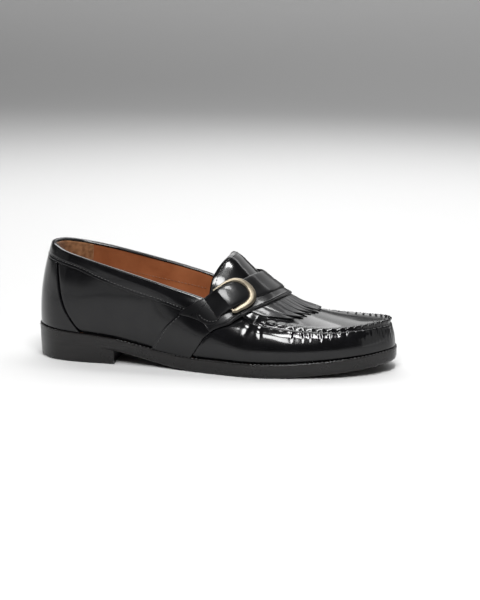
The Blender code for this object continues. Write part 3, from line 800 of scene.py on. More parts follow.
# Leather drawn in where another is sewn on it, by the way from the seam: place, height, width
SADDLE_GROOVE = (0.5, -0.75, 1.1)
SADDLE_PULL = (0.0, -0.9, 4.0)
COUNTER_GROOVE = (0.3, -0.6, 0.9)
SOLE_GROOVE = (0.0, -0.8, 1.1)
WALL_HEIGHT = 40.0

# Hollow and roll on the tongue's flanks, by the share of its half width: place, height, width
TONGUE_ROLL = ((0.58, -0.35, 0.13), (0.79, 0.45, 0.10))
TONGUE_ROLL_END = (0.525, 0.55)

# Suede grip at the heel: its foot and height on the wall, and its half width along it
GRIP_FOOT = 0.42
GRIP_HEIGHT = 0.54
GRIP_WIDTH = 0.194
GRIP_THICKNESS = 0.75


def seam_phases(side):
    """Number of puckers from the toe's middle back to each mark along the seam."""
    points = wall(side * SEAM_MARKS, np.ones_like(SEAM_MARKS))
    steps = np.linalg.norm(np.diff(points, axis=0), axis=1)
    back = np.concatenate([[0.0], np.cumsum(steps[::-1])])
    pitch = PUCKER_PITCH + PITCH_GROWTH * smooth(back, *PITCH_SPAN)
    phases = np.concatenate([[0.0], np.cumsum(np.diff(back) / pitch[1:])])
    return phases[::-1]


SEAM_PHASES = {side: seam_phases(side) for side in (-1, 1)}


def pucker(t, side):
    """How full the leather is between two seam stitches, and the pucker's number."""
    outer, inner = (np.interp(t, SEAM_MARKS, SEAM_PHASES[k]) for k in (-1, 1))
    phase = np.where(side < 0, outer, inner) + 0.5
    return np.abs(np.sin(np.pi * phase)) ** 0.75, np.floor(phase).astype(int)


def seam_fade(t):
    return smooth(t, *SEAM_START)


def wall_relief(t, side, distance):
    """Seam ridge, nubs and soft puckers on the wall below the apron seam, and ripples round the toe."""
    full, number = pucker(t, side)
    amount = PUCKER_AMOUNT[(side > 0).astype(int), number]
    ridge = (0.5 + 0.5 * full) * bell(distance, *RIDGE)
    nubs = amount * full * bell(distance, *NUBS)
    wave = WAVE_HEIGHT * amount * (full**2 - 0.5) * within(distance, 4.5, 6.5, 7.0, 13.0)
    wave *= np.where(side < 0, smooth(t, 0.75, 0.79), 1.0)
    ripple = RIPPLE_HEIGHT * np.sin(RIPPLE_RATE * t + RIPPLE_SWAY * np.sin(SWAY_RATE * t))
    ripple *= smooth(t, 0.80, 0.90)
    ripple *= within(distance, 1.5, 4.0, 9.0, 19.0)
    shoulder = bell(distance, *SHOULDER) * within(t, 0.57, 0.60, 0.62, 0.66)
    return seam_fade(t) * (ridge + bell(distance, *VALLEY) + nubs + wave) + ripple + shoulder


def apron_relief(t, side, distance):
    """Ridge and slight dimples on the apron at a distance inside the seam."""
    full = pucker(t, side)[0]
    ridge = (0.55 + 0.45 * full) * bell(distance, *RIDGE)
    dimples = DIMPLE_HEIGHT * (full - 0.72) * np.exp(-distance / DIMPLE_REACH) * smooth(distance, 0.5, 2.0)
    return seam_fade(t) * (ridge + dimples)


def waviness(points, length, seed):
    """Slow unevenness of stretched leather, between about -1 and 1."""
    draw = np.random.default_rng(seed)
    total = np.zeros(points.shape[:-1])
    for _ in range(14):
        way = unit(draw.normal(size=3)) * 2 * np.pi / (length * draw.uniform(0.7, 1.5))
        total += np.sin(points @ way + draw.uniform(0, 2 * np.pi))
    return total / 5


def nearest_on(points, side, path, steps=30):
    """Way from each point to a path on the wall, forwards positive, and how full the path is there."""
    marks = np.array(path)
    at = np.linspace(0, len(marks) - 1, steps)
    t, v = (np.interp(at, np.arange(len(marks)), column) for column in marks.T)
    line = wall(side * t, v)
    away = np.linalg.norm(points[:, None] - line[None], axis=2)
    nearest = away.argmin(axis=1)
    ahead = np.where(points[:, 0] < line[nearest, 0], -1.0, 1.0)
    return ahead * away.min(axis=1), np.sin(np.pi * (nearest + 1) / (steps + 1)) ** 0.5


def crease_relief(points):
    """Soft troughs with a low ridge at each side along the creases, and one-sided steps along the folds."""
    relief = np.zeros(len(points))
    for side, path, depth, width in CREASES:
        way, full = nearest_on(points, side, path)
        ridges = bell(np.abs(way), 2 * width, CREASE_RIDGE, width)
        relief += depth * full * (ridges - bell(way, 0.0, 1.0, width))
    for side, path, depth, width in FOLDS:
        way, full = nearest_on(points, side, path)
        relief += depth * full * way / width * bell(way, 0.0, FOLD_STEP, width)
    return relief


def along_shoe(t, edge):
    """Way forward from an edge at t, along the shoe."""
    return (t - edge) * (TOP_FRONT - TOP_BACK) * np.pi / 2 * np.sin(np.pi * t)


def seam_grooves(t, side, v):
    """Leather drawn in along the front edges of saddle and heel counter, and at the sole."""
    saddle_way = along_shoe(t, SADDLE_FRONT((2 - v) * side))
    counter_way = along_shoe(t, COUNTER_T(v))
    below_band = 1 - smooth(v - BAND_V(t), -0.02, 0.02)
    relief = bell(saddle_way, *SADDLE_GROOVE) * (1 - smooth(v, 0.5, 0.8))
    relief += bell(counter_way, *COUNTER_GROOVE) * below_band
    relief += bell(saddle_way, *SADDLE_PULL) * smooth(v, 0.55, 0.8)
    return relief + bell(v * WALL_HEIGHT, *SOLE_GROOVE)


def upper_sheet(seam_rows, collar_columns, heights, shares, throat=0.0):
    """Skin of the upper as an open sheet, with each point's t, side, place on the apron and way to the seam.

    Throat moves the tongue's edge forwards.
    """
    rows = np.linspace(0, 1, seam_rows + 1)[:-1]
    corner = TONGUE_T(1.0) + throat
    side = corner + (1 - corner) * rows
    collar = np.linspace(-side[0], side[0], collar_columns + 2)[1:-1]
    tau = np.concatenate([-side[::-1], collar, side, [1.0]])
    columns = len(tau)
    v, around = np.meshgrid(heights, tau, indexing="ij")
    v = v * (1 - COLLAR_DIP * (1 - smooth(np.abs(around), *COLLAR_END)))
    points = wall(around, v)
    length = np.linalg.norm(np.diff(points, axis=0), axis=2).sum(axis=0)
    faces = [
        (r * columns + c, (r + 1) * columns + c, (r + 1) * columns + n, r * columns + n)
        for r in range(len(heights) - 1)
        for c, n in zip(range(columns), list(range(1, columns)) + [0])
    ]
    s = shares[None, 1:-1]
    t = side[:, None] - (TONGUE_T(1.0) - TONGUE_T(np.abs(s))) * (1 - smooth(rows, 0, 0.25))[:, None]
    s = np.broadcast_to(s, t.shape)
    half = np.linalg.norm(wall(side, 1 + 0 * side) - wall(-side, 1 + 0 * side), axis=1) / 2
    apron = instep(t, s)
    top = (len(heights) - 1) * columns
    first = len(heights) * columns
    width = len(shares) - 2
    toe = top + columns - 1
    index = [
        [top + len(side) - 1 - i]
        + [first + i * width + k for k in range(width)]
        + [top + len(side) + len(collar) + i]
        for i in range(len(side))
    ]
    for back, front in zip(index, index[1:]):
        faces += [(back[k], front[k], front[k + 1], back[k + 1]) for k in range(width + 1)]
    faces += [(index[-1][k], toe, index[-1][k + 1]) for k in range(width + 1)]
    facts = {
        "t": np.concatenate([np.abs(around).ravel(), t.ravel()]),
        "side": np.concatenate([np.sign(around).ravel(), np.sign(s).ravel()]),
        "apron": np.concatenate([np.zeros(around.size), np.ones(t.size)]),
        "v": np.concatenate([v.ravel(), np.ones(t.size)]),
        "share": np.concatenate([np.ones(around.size), np.abs(s).ravel()]),
        "distance": np.concatenate([((1 - v) * length).ravel(), ((1 - np.abs(s)) * half[:, None]).ravel()]),
    }
    return np.concatenate([points.reshape(-1, 3), apron.reshape(-1, 3)]), faces, facts


def tongue_roll(t, share):
    """Soft roll down each flank of the tongue, with a hollow inside it."""
    return sum(bell(share, *row) for row in TONGUE_ROLL) * (1 - smooth(t, *TONGUE_ROLL_END))


def dense_top(count, power):
    """Steps from 0 to 1 that crowd towards 1."""
    return 1 - (1 - np.linspace(0, 1, count)) ** power


def polished_upper():
    foot = [0.0, 0.012, 0.025, 0.04]
    heights = np.concatenate([foot, 0.055 + 0.945 * dense_top(40, 1.4)])
    shares = np.concatenate([-dense_top(21, 1.4)[::-1], dense_top(21, 1.4)[1:]])
    points, faces, facts = upper_sheet(340, 260, heights, shares)
    t, side, distance = facts["t"], facts["side"], facts["distance"]
    on_apron = facts["apron"] > 0
    relief = np.where(on_apron, apron_relief(t, side, distance), wall_relief(t, side, distance))
    relief += (crease_relief(points) + seam_grooves(t, side, facts["v"])) * ~on_apron
    relief += 0.07 * waviness(points, 26.0, 5) * smooth(distance, 0.0, 6.0)
    relief += tongue_roll(t, facts["share"])
    return leather(points, faces, -SKIN_THICKNESS, relief, bulge=1.0)


def lining():
    heights, shares = np.linspace(0, 1, 16), np.linspace(-1, 1, 25)
    points, faces, facts = upper_sheet(60, 110, heights, shares, throat=0.003)
    deeper = 0.1 + 0.9 * smooth(facts["t"], 0.58, 0.7)
    fold = 0.12 * waviness(points, 30.0, 8)
    return leather(points, faces, -LINING_DEPTH + fold - deeper, -SKIN_THICKNESS + 0.05 - deeper)


def heel_grip():
    """Suede patch that lines the back of the heel."""
    along, up = np.meshgrid(np.linspace(-1, 1, 61), np.linspace(0, 1, 21))
    tau = along * (GRIP_WIDTH + 0.008 * np.sin(3 * up))
    points = wall(tau, GRIP_FOOT + GRIP_HEIGHT * up)
    low = -LINING_DEPTH - GRIP_THICKNESS + 0.1 * waviness(points, 16.0, 3)
    return leather(points, grid(*tau.shape), low, -LINING_DEPTH - 0.1)


# Leathers sewn on the upper

# Collar band: gap to the saddle, dent along its lower seam, height of its swell, height over which its top
# rolls inwards, and how far the roll reaches past the lining
BAND_GAP = 0.0008
BAND_DENT = (1.7, -0.22, 0.6)
BAND_SWELL = 0.25
BAND_ROLL = 2.2
ROLL_REACH = 0.35
# Heel counter: its top, its foot on the wall and its gap below the collar band
COUNTER_TOP = 0.85
COUNTER_FOOT = 0.004
COUNTER_GAP = 0.010
# Saddle: its thickness, how far its top drops beside the kiltie and where, places across it,
# and the double bead along its front edge
SADDLE_THICKNESS = 1.15
SADDLE_DROP = 0.6
SADDLE_FLANK = (0.92, 1.40)
SADDLE_COLUMNS = np.concatenate([np.linspace(0, 0.88, 20)[:-1], np.linspace(0.88, 1, 21)])
PIPING = ((0.8, 0.30, 0.40), (1.6, -0.30, 0.35), (2.4, 0.16, 0.45))
# Strap: places across it, where it leaves the saddle, its top over the bar, its roll there, its crown,
# and how far its edges drop
STRAP_ACROSS = np.linspace(-1, 1, 21)
STRAP_RISE_Q = -0.42
STRAP_OVER_BAR = BAR_LIFT + BAR_HEIGHT / 2 + STRAP_THICKNESS + 0.75
STRAP_ROLL = 4.0
STRAP_CROWN = 0.22
STRAP_EDGE = 0.25
# Kiltie: its half width, how far it lies inside the saddle's edges, the strips of its fringe, the slant of
# their tips, the slits at the root and how much wider they are at the tips, and how far strips cup
KILTIE_Q = 0.90
KILTIE_REAR = 0.006
KILTIE_FRONT = 0.004
STRIPS = 12
STRIP_COLUMNS = 7
ROOT_ROWS = 8
STRIP_ROWS = 40
TIP_T = 0.026
SLIT_ROOT = 0.009
SLIT_GROWTH = 0.020
STRIP_CUP = 0.12
# Tab: share of the way to the bar at which it ends, share of the bar that it takes, and roundness of its end
TAB_END = 0.72
TAB_WIDTH = 0.72
TAB_ROUND = 0.13


def collar_band():
    """Band round the collar, thickened at its top into a roll that covers the edges of skin and lining."""
    along, up = np.meshgrid(np.linspace(-1, 1, 241), dense_top(15, 1.5))
    tau = along * 0.48
    for _ in range(2):
        v = BAND_V(np.abs(tau)) * (1 - up) + ROLL_V * up
        tau = along * (SADDLE_REAR((2 - v) * np.sign(along)) - BAND_GAP)
    points = wall(tau, v)
    height = np.linalg.norm(np.diff(points, axis=0), axis=2).sum(axis=0)
    above, below = height * up, height * (1 - up)
    swell = BAND_SWELL * np.sin(np.pi * smooth(above, 2.0, 14.0))
    high = BAND_TOP + bell(above, *BAND_DENT) + swell + UNEVEN * waviness(points, 18.0, 6)
    low = -SINK - (LINING_DEPTH + ROLL_REACH) * (1 - smooth(below, 0.0, BAND_ROLL))
    return leather(points, grid(*tau.shape), low, high, bulge=0.95, steps=12)


def counter():
    """Piece round the back of the heel, below the collar band."""
    along, up = np.meshgrid(np.linspace(-1, 1, 91), np.linspace(0, 1, 41))
    v = 0.02 + 0.72 * up
    for _ in range(2):
        tau = along * COUNTER_T(v)
        v = COUNTER_FOOT + (BAND_V(np.abs(tau)) - COUNTER_GAP - COUNTER_FOOT) * up
    points = wall(tau, v)
    return leather(points, grid(*tau.shape), -SINK, COUNTER_TOP + UNEVEN * waviness(points, 22.0, 7))


def saddle_lift(q):
    """Top of the saddle: it lies on the wall at its sides and on the kiltie over the instep."""
    return SADDLE_TOP + KILTIE_TOP * (1 - SADDLE_DROP * smooth(np.abs(q), *SADDLE_FLANK))


def saddle_seam(a):
    """Place of the seam across each side of the saddle, from its rear to its front edge."""
    return 1.40 + 0.16 * a**3


def across_band(rear, front, share, q):
    """Place along the shoe between a band's rear and front edge."""
    return rear(q) + (front(q) - rear(q)) * share


def saddle_points(a, q):
    return skin(across_band(SADDLE_REAR, SADDLE_FRONT, a, q), q)


def piping(a, q):
    """Narrow double bead along the saddle's front edge."""
    way = along_shoe(SADDLE_FRONT(q), SADDLE_REAR(q)) * (1 - a)
    return sum(bell(way, *row) for row in PIPING)


def saddle_side(side):
    """Lower end of the saddle on the outer (-1) or inner (1) side, between the sole and the cross seam."""
    a, b = np.meshgrid(SADDLE_COLUMNS, np.linspace(0, 1, 41), indexing="ij")
    seam = saddle_seam(a) + 0.006
    foot = SADDLE_FOOT_Q + 0.016
    q = seam + (foot - seam) * b if side > 0 else -foot + (foot - seam) * b
    points = saddle_points(a, q)
    return leather(points, grid(*a.shape), -SINK, SADDLE_TOP - 0.2 + UNEVEN * waviness(points, 20.0, 9))


def saddle():
    """Band over the instep between the two cross seams."""
    a, b = np.meshgrid(SADDLE_COLUMNS, np.linspace(-1, 1, 161), indexing="ij")
    q = b * (saddle_seam(a) - 0.003)
    points = saddle_points(a, q)
    high = saddle_lift(q) + piping(a, q) + UNEVEN * waviness(points, 20.0, 10)
    beside = smooth(np.abs(q), 0.92, 1.0)
    low = (saddle_lift(q) - SADDLE_THICKNESS) * (1 - beside) - SINK * beside
    return leather(points, grid(*a.shape), low, high)


def bar_place(b):
    """Place of the buckle's bar on the upper, from its rear end to its front end."""
    return 0.5255 + 0.0235 * b, -0.9775 - 0.0775 * b


def strap_tip(b):
    """Place of the strap's free end on the tab, from its rear to its front edge."""
    return 0.511 + 0.0145 * b, -1.16 - 0.13 * b


def strap_route():
    """Rows across the strap from its inner end through the D to the bar's top: t, q and height of its top."""
    bar_q = bar_place(0.04 + 0.76 * STRAP_ACROSS)[1] + BAR_BOW
    share = (STRAP_ACROSS + 1) / 2
    rows = []
    for q in np.linspace(STRAP_END_Q, STRAP_RISE_Q, 110):
        row_q = q + 0 * STRAP_ACROSS
        row_t = across_band(STRAP_REAR, STRAP_FRONT, share, row_q)
        rows.append((row_t, row_q, saddle_lift(row_q) + STRAP_THICKNESS + 0.02))
    start_q, start_top = rows[-1][1:]
    for done in np.linspace(0, 1, 41)[1:]:
        pull = smooth(done, 0.2, 0.7)
        row_q = start_q + (bar_q - start_q) * done
        row_t = across_band(STRAP_REAR, STRAP_FRONT, share * (1 - 0.15 * pull) + 0.10 * pull, row_q)
        crown = 0.4 * pull * (1 - STRAP_ACROSS**2)
        rows.append((row_t, row_q, start_top + (STRAP_OVER_BAR - start_top) * smooth(done, 0.3, 1.0) + crown))
    return [np.array(part) for part in zip(*rows)]


def strap_end(rows):
    """Rows of the strap's free end, which rolls over the bar and runs straight down to the tab."""
    t, q = strap_tip(STRAP_ACROSS)
    tip = lifted(skin_frame(t, q), saddle_lift(q) + TAB_PANEL + 0.9)
    start = rows[-1]
    ahead = unit(start - rows[-3]) * STRAP_ROLL
    done = np.linspace(0, 1, 41)[1:, None, None]
    rest = 1 - done
    return (
        start * (1 + 2 * done) * rest**2
        + ahead * done * rest**2
        + tip * done**2 * (3 - 2 * done)
        - (tip - start) * done**2 * rest
    )


def strap():
    """Strap that narrows inside the buckle, rolls over its bar and ends flat on the tab."""
    t, q, top = strap_route()
    top = top + STRAP_CROWN * (1 - STRAP_ACROSS**4) - STRAP_EDGE * np.abs(STRAP_ACROSS) ** 12
    rows = lifted(skin_frame(t, q), top)
    rows = np.concatenate([rows, strap_end(rows)])
    sheet = rows[::-1].transpose(1, 0, 2)
    return leather(sheet, grid(*sheet.shape[:2]), -STRAP_THICKNESS, 0.0, bulge=0.9)


def kiltie():
    """Flap under the saddle, its front cut into strips with slanting tips that curl a little."""
    edges = np.linspace(-KILTIE_Q, KILTIE_Q, STRIPS + 1)
    strip = np.repeat(np.arange(STRIPS), STRIP_COLUMNS)
    across = np.tile(np.linspace(0, 1, STRIP_COLUMNS), STRIPS)
    low, high = edges[strip], edges[strip + 1]
    inward = np.where(low + high < 0, across, 1 - across)
    root = np.concatenate([np.linspace(0, 1, ROOT_ROWS), np.ones(STRIP_ROWS)])[:, None]
    grow = np.concatenate([np.zeros(ROOT_ROWS), np.linspace(0, 1, STRIP_ROWS + 1)[1:]])[:, None]
    slit = SLIT_ROOT + SLIT_GROWTH * grow
    q = low + slit / 2 + (high - low - slit) * across
    rear = SADDLE_REAR(q) + KILTIE_REAR
    base = SADDLE_FRONT(q) - KILTIE_FRONT
    lengths = RANDOM.uniform(-0.0015, 0.0015, STRIPS)[strip]
    tip = FRINGE_T(q) + TIP_T * (inward - 1) + lengths
    t = rear + (base - rear) * root + (tip - base) * grow
    rows, columns = t.shape
    faces = [
        face
        for face in grid(rows, columns)
        if face[0] // columns < ROOT_ROWS - 1 or face[0] % columns % STRIP_COLUMNS != STRIP_COLUMNS - 1
    ]
    cup = STRIP_CUP * (1 - (2 * across - 1) ** 4) * smooth(grow, 0.0, 0.3)
    curl = RANDOM.uniform(0.3, 1.0, STRIPS)[strip] * grow**2
    tilt = RANDOM.uniform(-0.3, 0.3, STRIPS)[strip] * (across - 0.5) * grow
    lift = cup + curl + tilt
    return leather(skin(t, q), faces, lift - 0.05, lift + KILTIE_TOP - 0.1, bulge=0.8)


def tab_place(a, b):
    """Place on the tab: a runs from its rounded end to the bar, b from its rear to its front edge."""
    end_t, end_q = 0.508 + 0.019 * b, -1.31 - TAB_ROUND * np.sqrt(1 - b**2 * 0.98)
    bar_t, bar_q = bar_place(TAB_WIDTH * b)
    return end_t + (bar_t - end_t) * a, end_q + (bar_q - end_q) * a


def buckle_tab():
    """Panel with a rounded end that carries the buckle and runs under the strap's free end."""
    b = np.sin(np.linspace(-1, 1, 33) * np.pi / 2)
    a, b = np.meshgrid(np.linspace(0, TAB_END, 31)[::-1], b, indexing="ij")
    t, q = tab_place(a, b)
    high = saddle_lift(q) + 0.05 + TAB_PANEL - bell(a, 0.0, 0.15, 0.1)
    low = np.maximum(saddle_lift(q) - 0.5, 0.0)
    return leather(skin(t, q), grid(*t.shape), low, high, bulge=0.8)


def rounded_profile(corners, share):
    """Each corner of a closed section cut into two points, to soften it."""
    cuts = [corners + (np.roll(corners, step, axis=0) - corners) * share for step in (1, -1)]
    return np.stack(cuts, 1).reshape(-1, 2)


def buckle():
    """D-shaped frame that follows the instep, wide at its curve and narrow at the bar."""
    marks = np.arange(len(FRAME), dtype=float)
    at = np.linspace(0, len(FRAME) - 1, 141)
    t, q, width = (spline(marks, column)(at) for column in FRAME.T)
    bar = np.linspace(1, -1, 33)[1:-1]
    bar_t = (t[0] + t[-1]) / 2 + (t[-1] - t[0]) / 2 * bar
    bar_q = (q[0] + q[-1]) / 2 + (q[-1] - q[0]) / 2 * bar + BAR_BOW * (1 - bar**4)
    t, q = np.concatenate([t, bar_t]), np.concatenate([q, bar_q])
    width = np.concatenate([width, np.full(len(bar), BAR_HEIGHT)])
    framed = skin_frame(t, q)
    point, normal = lifted(framed, BAR_LIFT), framed[1]
    ahead = np.roll(point, -2, axis=0) - np.roll(point, 2, axis=0)
    across = unit(np.cross(ahead, normal))
    profile = rounded_profile(rounded_profile(FRAME_PROFILE, 0.16), 0.25)
    rings = (
        point[:, None]
        + across[:, None] * profile[None, :, :1] * width[:, None, None] / 2
        + normal[:, None] * profile[None, :, 1:] * BAR_HEIGHT / 2
    )
    count, sides = len(point), len(profile)
    i, k = np.meshgrid(np.arange(count), np.arange(sides), indexing="ij")
    after, beside = (i + 1) % count, (k + 1) % sides
    corners = [i * sides + k, i * sides + beside, after * sides + beside, after * sides + k]
    faces = [tuple(face) for face in np.stack(corners, -1).reshape(-1, 4).tolist()]
    return rings.reshape(-1, 3), faces


# Sole, heel and sock

# Edge of the sole from its top: inset and drop below the top, then share of the bevel, inset and rise
SOLE_TOP_EDGE = ((3.5, 0.25), (0.35, 0.0), (0.1, 0.1), (0.0, 0.35), (0.0, 1.4))
SOLE_LOW_EDGE = (
    (0.0, 0.05, 3.2), (0.0, 0.1, 1.9), (0.3, 0.05, 1.0), (0.65, 0.0, 0.4), (1.0, 0.0, 0.06), (1.0, 0.8, 0.0),
)
# Edge of the heel: inset and share of its height, then inset and height
HEEL_EDGE = ((0.1, 1.0), (0.25, 0.8), (0.45, 0.5), (0.65, 0.25))
HEEL_FOOT = ((0.75, 1.2), (1.0, 0.5), (1.5, 0.1), (2.2, 0.0))
# Edge of the sock: gap to the wall's inside and share of its thickness
SOCK_EDGE = ((2.2, 0.97), (1.2, 1.0), (0.5, 0.9), (0.2, 0.6), (0.2, 0.0))


def tread(x):
    return np.maximum(TREAD(x), 0.0)


def level(value):
    return lambda x: value + 0 * x


def outsole():
    """Sole with a crisp upper edge and a softened lower one."""

    def bevelled(share, inset):
        return lambda x: share * np.interp(x, (HEEL_LENGTH - 10, HEEL_LENGTH + 15), (0.1, 1.3)) + inset

    def below(drop):
        return lambda x: SEAT(x) - 0.2 - drop

    def above(rise):
        return lambda x: tread(x) + rise

    edge = [(level(inset), below(drop)) for inset, drop in SOLE_TOP_EDGE]
    edge += [(bevelled(share, inset), above(rise)) for share, inset, rise in SOLE_LOW_EDGE]
    return plate(np.linspace(0, 1, 201), np.linspace(-1, 1, 9), edge)


def heel():
    """Stacked heel, hollowed at its front, with a softened foot."""

    def rise(share):
        return lambda x: (tread(x) + 0.05) * share

    stations = np.linspace(0, uneased(HEEL_LENGTH / SOLE_LENGTH), 61)
    edge = [(level(inset), rise(share)) for inset, share in HEEL_EDGE]
    edge += [(level(inset), level(height)) for inset, height in HEEL_FOOT]
    return plate(stations, np.linspace(-1, 1, 17), edge, HEEL_DISH)


def insole():
    """Sock that the foot stands on."""

    def inset(gap):
        return lambda x: MARGIN(x) + 1.8 + gap

    def up(share):
        return lambda x: SEAT(x) + INSOLE_THICKNESS * share

    edge = [(inset(gap), up(share)) for gap, share in SOCK_EDGE]
    return plate(np.linspace(0, 1, 121), np.linspace(-1, 1, 13), edge)[:2]


# Stitches

# Heights of the stitch rows above the tops of their leathers; the lining's counts inwards
STITCH_RISE = {"collar": -0.12, "saddle": -0.25, "tongue": 0.12, "tab": -0.05, "lining": 0.12, "welt": -0.12}
# Way from the lower edge of the collar band to its row, and from the sole's edge to the welt's row
COLLAR_ROW = 1.7
WELT_ROW = 1.05
# Loops of the apron seam: span, rise, thickness and lift above the seam
LOOP_SPAN = 3.6
LOOP_RISE = 1.7
LOOP_THICKNESS = 0.75
LOOP_LIFT = 0.55


def finish_tree(tree, shapes, thread, end):
    """Ends a tree with real geometry, evenly shaded and in its thread."""
    real = node(tree, "GeometryNodeRealizeInstances", {"Geometry": shapes})
    even = node(tree, "GeometryNodeSetShadeSmooth", {"Geometry": real.outputs[0]})
    dyed = node(tree, "GeometryNodeSetMaterial", {"Geometry": even.outputs[0], "Material": thread})
    tree.links.new(dyed.outputs[0], end.inputs[0])
    return tree


def stitch_tree():
    """A row of stitches along each path: bars of thread at even steps, turned along the path."""
    tree, given, end = group_tree(
        "stitch_rows",
        "GeometryNodeTree",
        [
            ("Paths", GEOMETRY, None),
            ("Step", FLOAT, 0.0026),
            ("Length", FLOAT, 0.0018),
            ("Thickness", FLOAT, 0.0006),
            ("Thread", MATERIAL, None),
        ],
        [("Stitches", GEOMETRY)],
    )
    curve = node(tree, "GeometryNodeMeshToCurve", {"Mesh": given["Paths"]}).outputs[0]
    steps = {"Curve": curve, "Length": given["Step"]}
    even = node(tree, "GeometryNodeResampleCurve", steps, mode="LENGTH").outputs[0]
    spots = node(tree, "GeometryNodeCurveToPoints", {"Curve": even}, mode="EVALUATED").outputs
    turn = node(tree, "FunctionNodeAlignRotationToVector", {"Vector": spots["Tangent"]}, axis="X")
    bar = node(tree, "GeometryNodeMeshUVSphere", {"Segments": 8, "Rings": 6, "Radius": 0.5})
    sizes = {"X": given["Length"], "Y": given["Thickness"], "Z": given["Thickness"]}
    stitch = {
        "Points": spots["Points"],
        "Instance": bar.outputs["Mesh"],
        "Rotation": turn.outputs["Rotation"],
        "Scale": node(tree, "ShaderNodeCombineXYZ", sizes).outputs["Vector"],
    }
    put = node(tree, "GeometryNodeInstanceOnPoints", stitch)
    return finish_tree(tree, put.outputs["Instances"], given["Thread"], end)


def seam_thread_tree():
    """A loop of thread over the apron seam at each point, turned by the point's own directions."""
    tree, given, end = group_tree(
        "seam_threads",
        "GeometryNodeTree",
        [
            ("Spots", GEOMETRY, None),
            ("Span", FLOAT, 0.0034),
            ("Rise", FLOAT, 0.0022),
            ("Thickness", FLOAT, 0.0007),
            ("Thread", MATERIAL, None),
        ],
        [("Loops", GEOMETRY)],
    )
    arch = {"Resolution": 8}
    for label, axis, value in (
        ("Start", "X", math_node(tree, "MULTIPLY", given["Span"], -0.5)),
        ("Middle", "Z", given["Rise"]),
        ("End", "X", math_node(tree, "MULTIPLY", given["Span"], 0.5)),
    ):
        arch[label] = node(tree, "ShaderNodeCombineXYZ", {axis: value}).outputs[0]
    curve = node(tree, "GeometryNodeCurveQuadraticBezier", arch).outputs[0]
    section = {"Resolution": 6, "Radius": math_node(tree, "MULTIPLY", given["Thickness"], 0.5)}
    ring = node(tree, "GeometryNodeCurvePrimitiveCircle", section, mode="RADIUS").outputs[0]
    tube = node(tree, "GeometryNodeCurveToMesh", {"Curve": curve, "Profile Curve": ring, "Fill Caps": True})
    up, across = (
        node(tree, "GeometryNodeInputNamedAttribute", {"Name": name}, data_type="FLOAT_VECTOR").outputs[0]
        for name in ("up", "across")
    )
    stand = node(tree, "FunctionNodeAlignRotationToVector", {"Vector": up}, axis="Z").outputs[0]
    turned = {"Rotation": stand, "Vector": across}
    turn = node(tree, "FunctionNodeAlignRotationToVector", turned, axis="X", pivot_axis="Z").outputs[0]
    spots = node(tree, "GeometryNodeMeshToPoints", {"Mesh": given["Spots"]}).outputs[0]
    loop = {"Points": spots, "Instance": tube.outputs[0], "Rotation": turn}
    put = node(tree, "GeometryNodeInstanceOnPoints", loop)
    return finish_tree(tree, put.outputs["Instances"], given["Thread"], end)


STITCH_ROWS = stitch_tree()
SEAM_THREADS = seam_thread_tree()


def grown(name, tree, base, values):
    """Plain mesh that a node tree makes from a base mesh, as a piece of the shoe."""
    holder = place_object(name + "_paths", base)
    modifier = holder.modifiers.new("grow", "NODES")
    modifier.node_group = tree
    sockets = {item.name: item.identifier for item in tree.interface.items_tree if item.in_out == "INPUT"}
    for label, value in values.items():
        modifier[sockets[label]] = value
    graph = bpy.context.evaluated_depsgraph_get()
    mesh = bpy.data.meshes.new_from_object(holder.evaluated_get(graph))
    holder.modifiers.remove(modifier)
    bpy.data.objects.remove(holder)
    mesh.name = name
    settle(name, mesh)


def stitches(name, paths, thread, step=2.6, length=1.9, thickness=0.62):
    """Rows of stitches along paths given in millimetres."""
    points, edges = [], []
    for path in paths:
        first = len(points)
        points += in_frame(path)
        edges += [(first + i, first + i + 1) for i in range(len(path) - 1)]
    base = bpy.data.meshes.new(name + "_paths")
    base.from_pydata(points, edges, [])
    values = {"Step": step * MM, "Length": length * MM, "Thickness": thickness * MM, "Thread": thread}
    grown(name, STITCH_ROWS, base, values)


def collar_row(side):
    """Row just above the lower edge of the collar band."""
    tau = side * np.linspace(0.02, 0.462, 160)
    edge = BAND_V(np.abs(tau))
    step = 0.02
    height = np.linalg.norm(wall(tau, edge + step) - wall(tau, edge), axis=1)
    return lifted(wall_frame(tau, edge + step * COLLAR_ROW / height), BAND_TOP + STITCH_RISE["collar"])


def saddle_row(side):
    """Row just inside the rear edge of the saddle's lower end."""
    q = side * np.linspace(saddle_seam(0.0) + 0.04, SADDLE_FOOT_Q - 0.02, 60)
    return lifted(skin_frame(SADDLE_REAR(q) + 0.0042, q), SADDLE_TOP + STITCH_RISE["saddle"])


def tongue_row():
    """Row just inside the tongue's edge."""
    s = np.linspace(-0.96, 0.96, 90)
    t = TONGUE_T(np.abs(s)) + 0.0072
    return lifted(skin_frame(t, s), tongue_roll(t, np.abs(s)) + STITCH_RISE["tongue"])


def tab_row():
    """Row round the tab's end, a little inside its edge."""
    t, q = tab_place(0.10, 0.80 * np.sin(np.linspace(-1, 1, 60) * np.pi / 2))
    return lifted(skin_frame(t, q), saddle_lift(q) + TAB_PANEL + STITCH_RISE["tab"])


def lining_row(side):
    """Row on the lining below the collar."""
    tau = side * np.linspace(0.275, 0.462, 90)
    v = 0.65 + 0.05 * smooth(np.abs(tau), 0.27, 0.46)
    return lifted(wall_frame(tau, v), -LINING_DEPTH - STITCH_RISE["lining"])


def welt_row():
    """Row along the welt from the waist round the toe."""
    tau = np.concatenate([np.linspace(-0.34, -1, 220), np.linspace(1, 0.34, 220)[1:]])
    point = outline(tau, np.full(len(tau), WELT_ROW))[0]
    return np.column_stack([point, SEAT(point[:, 0]) + STITCH_RISE["welt"]])


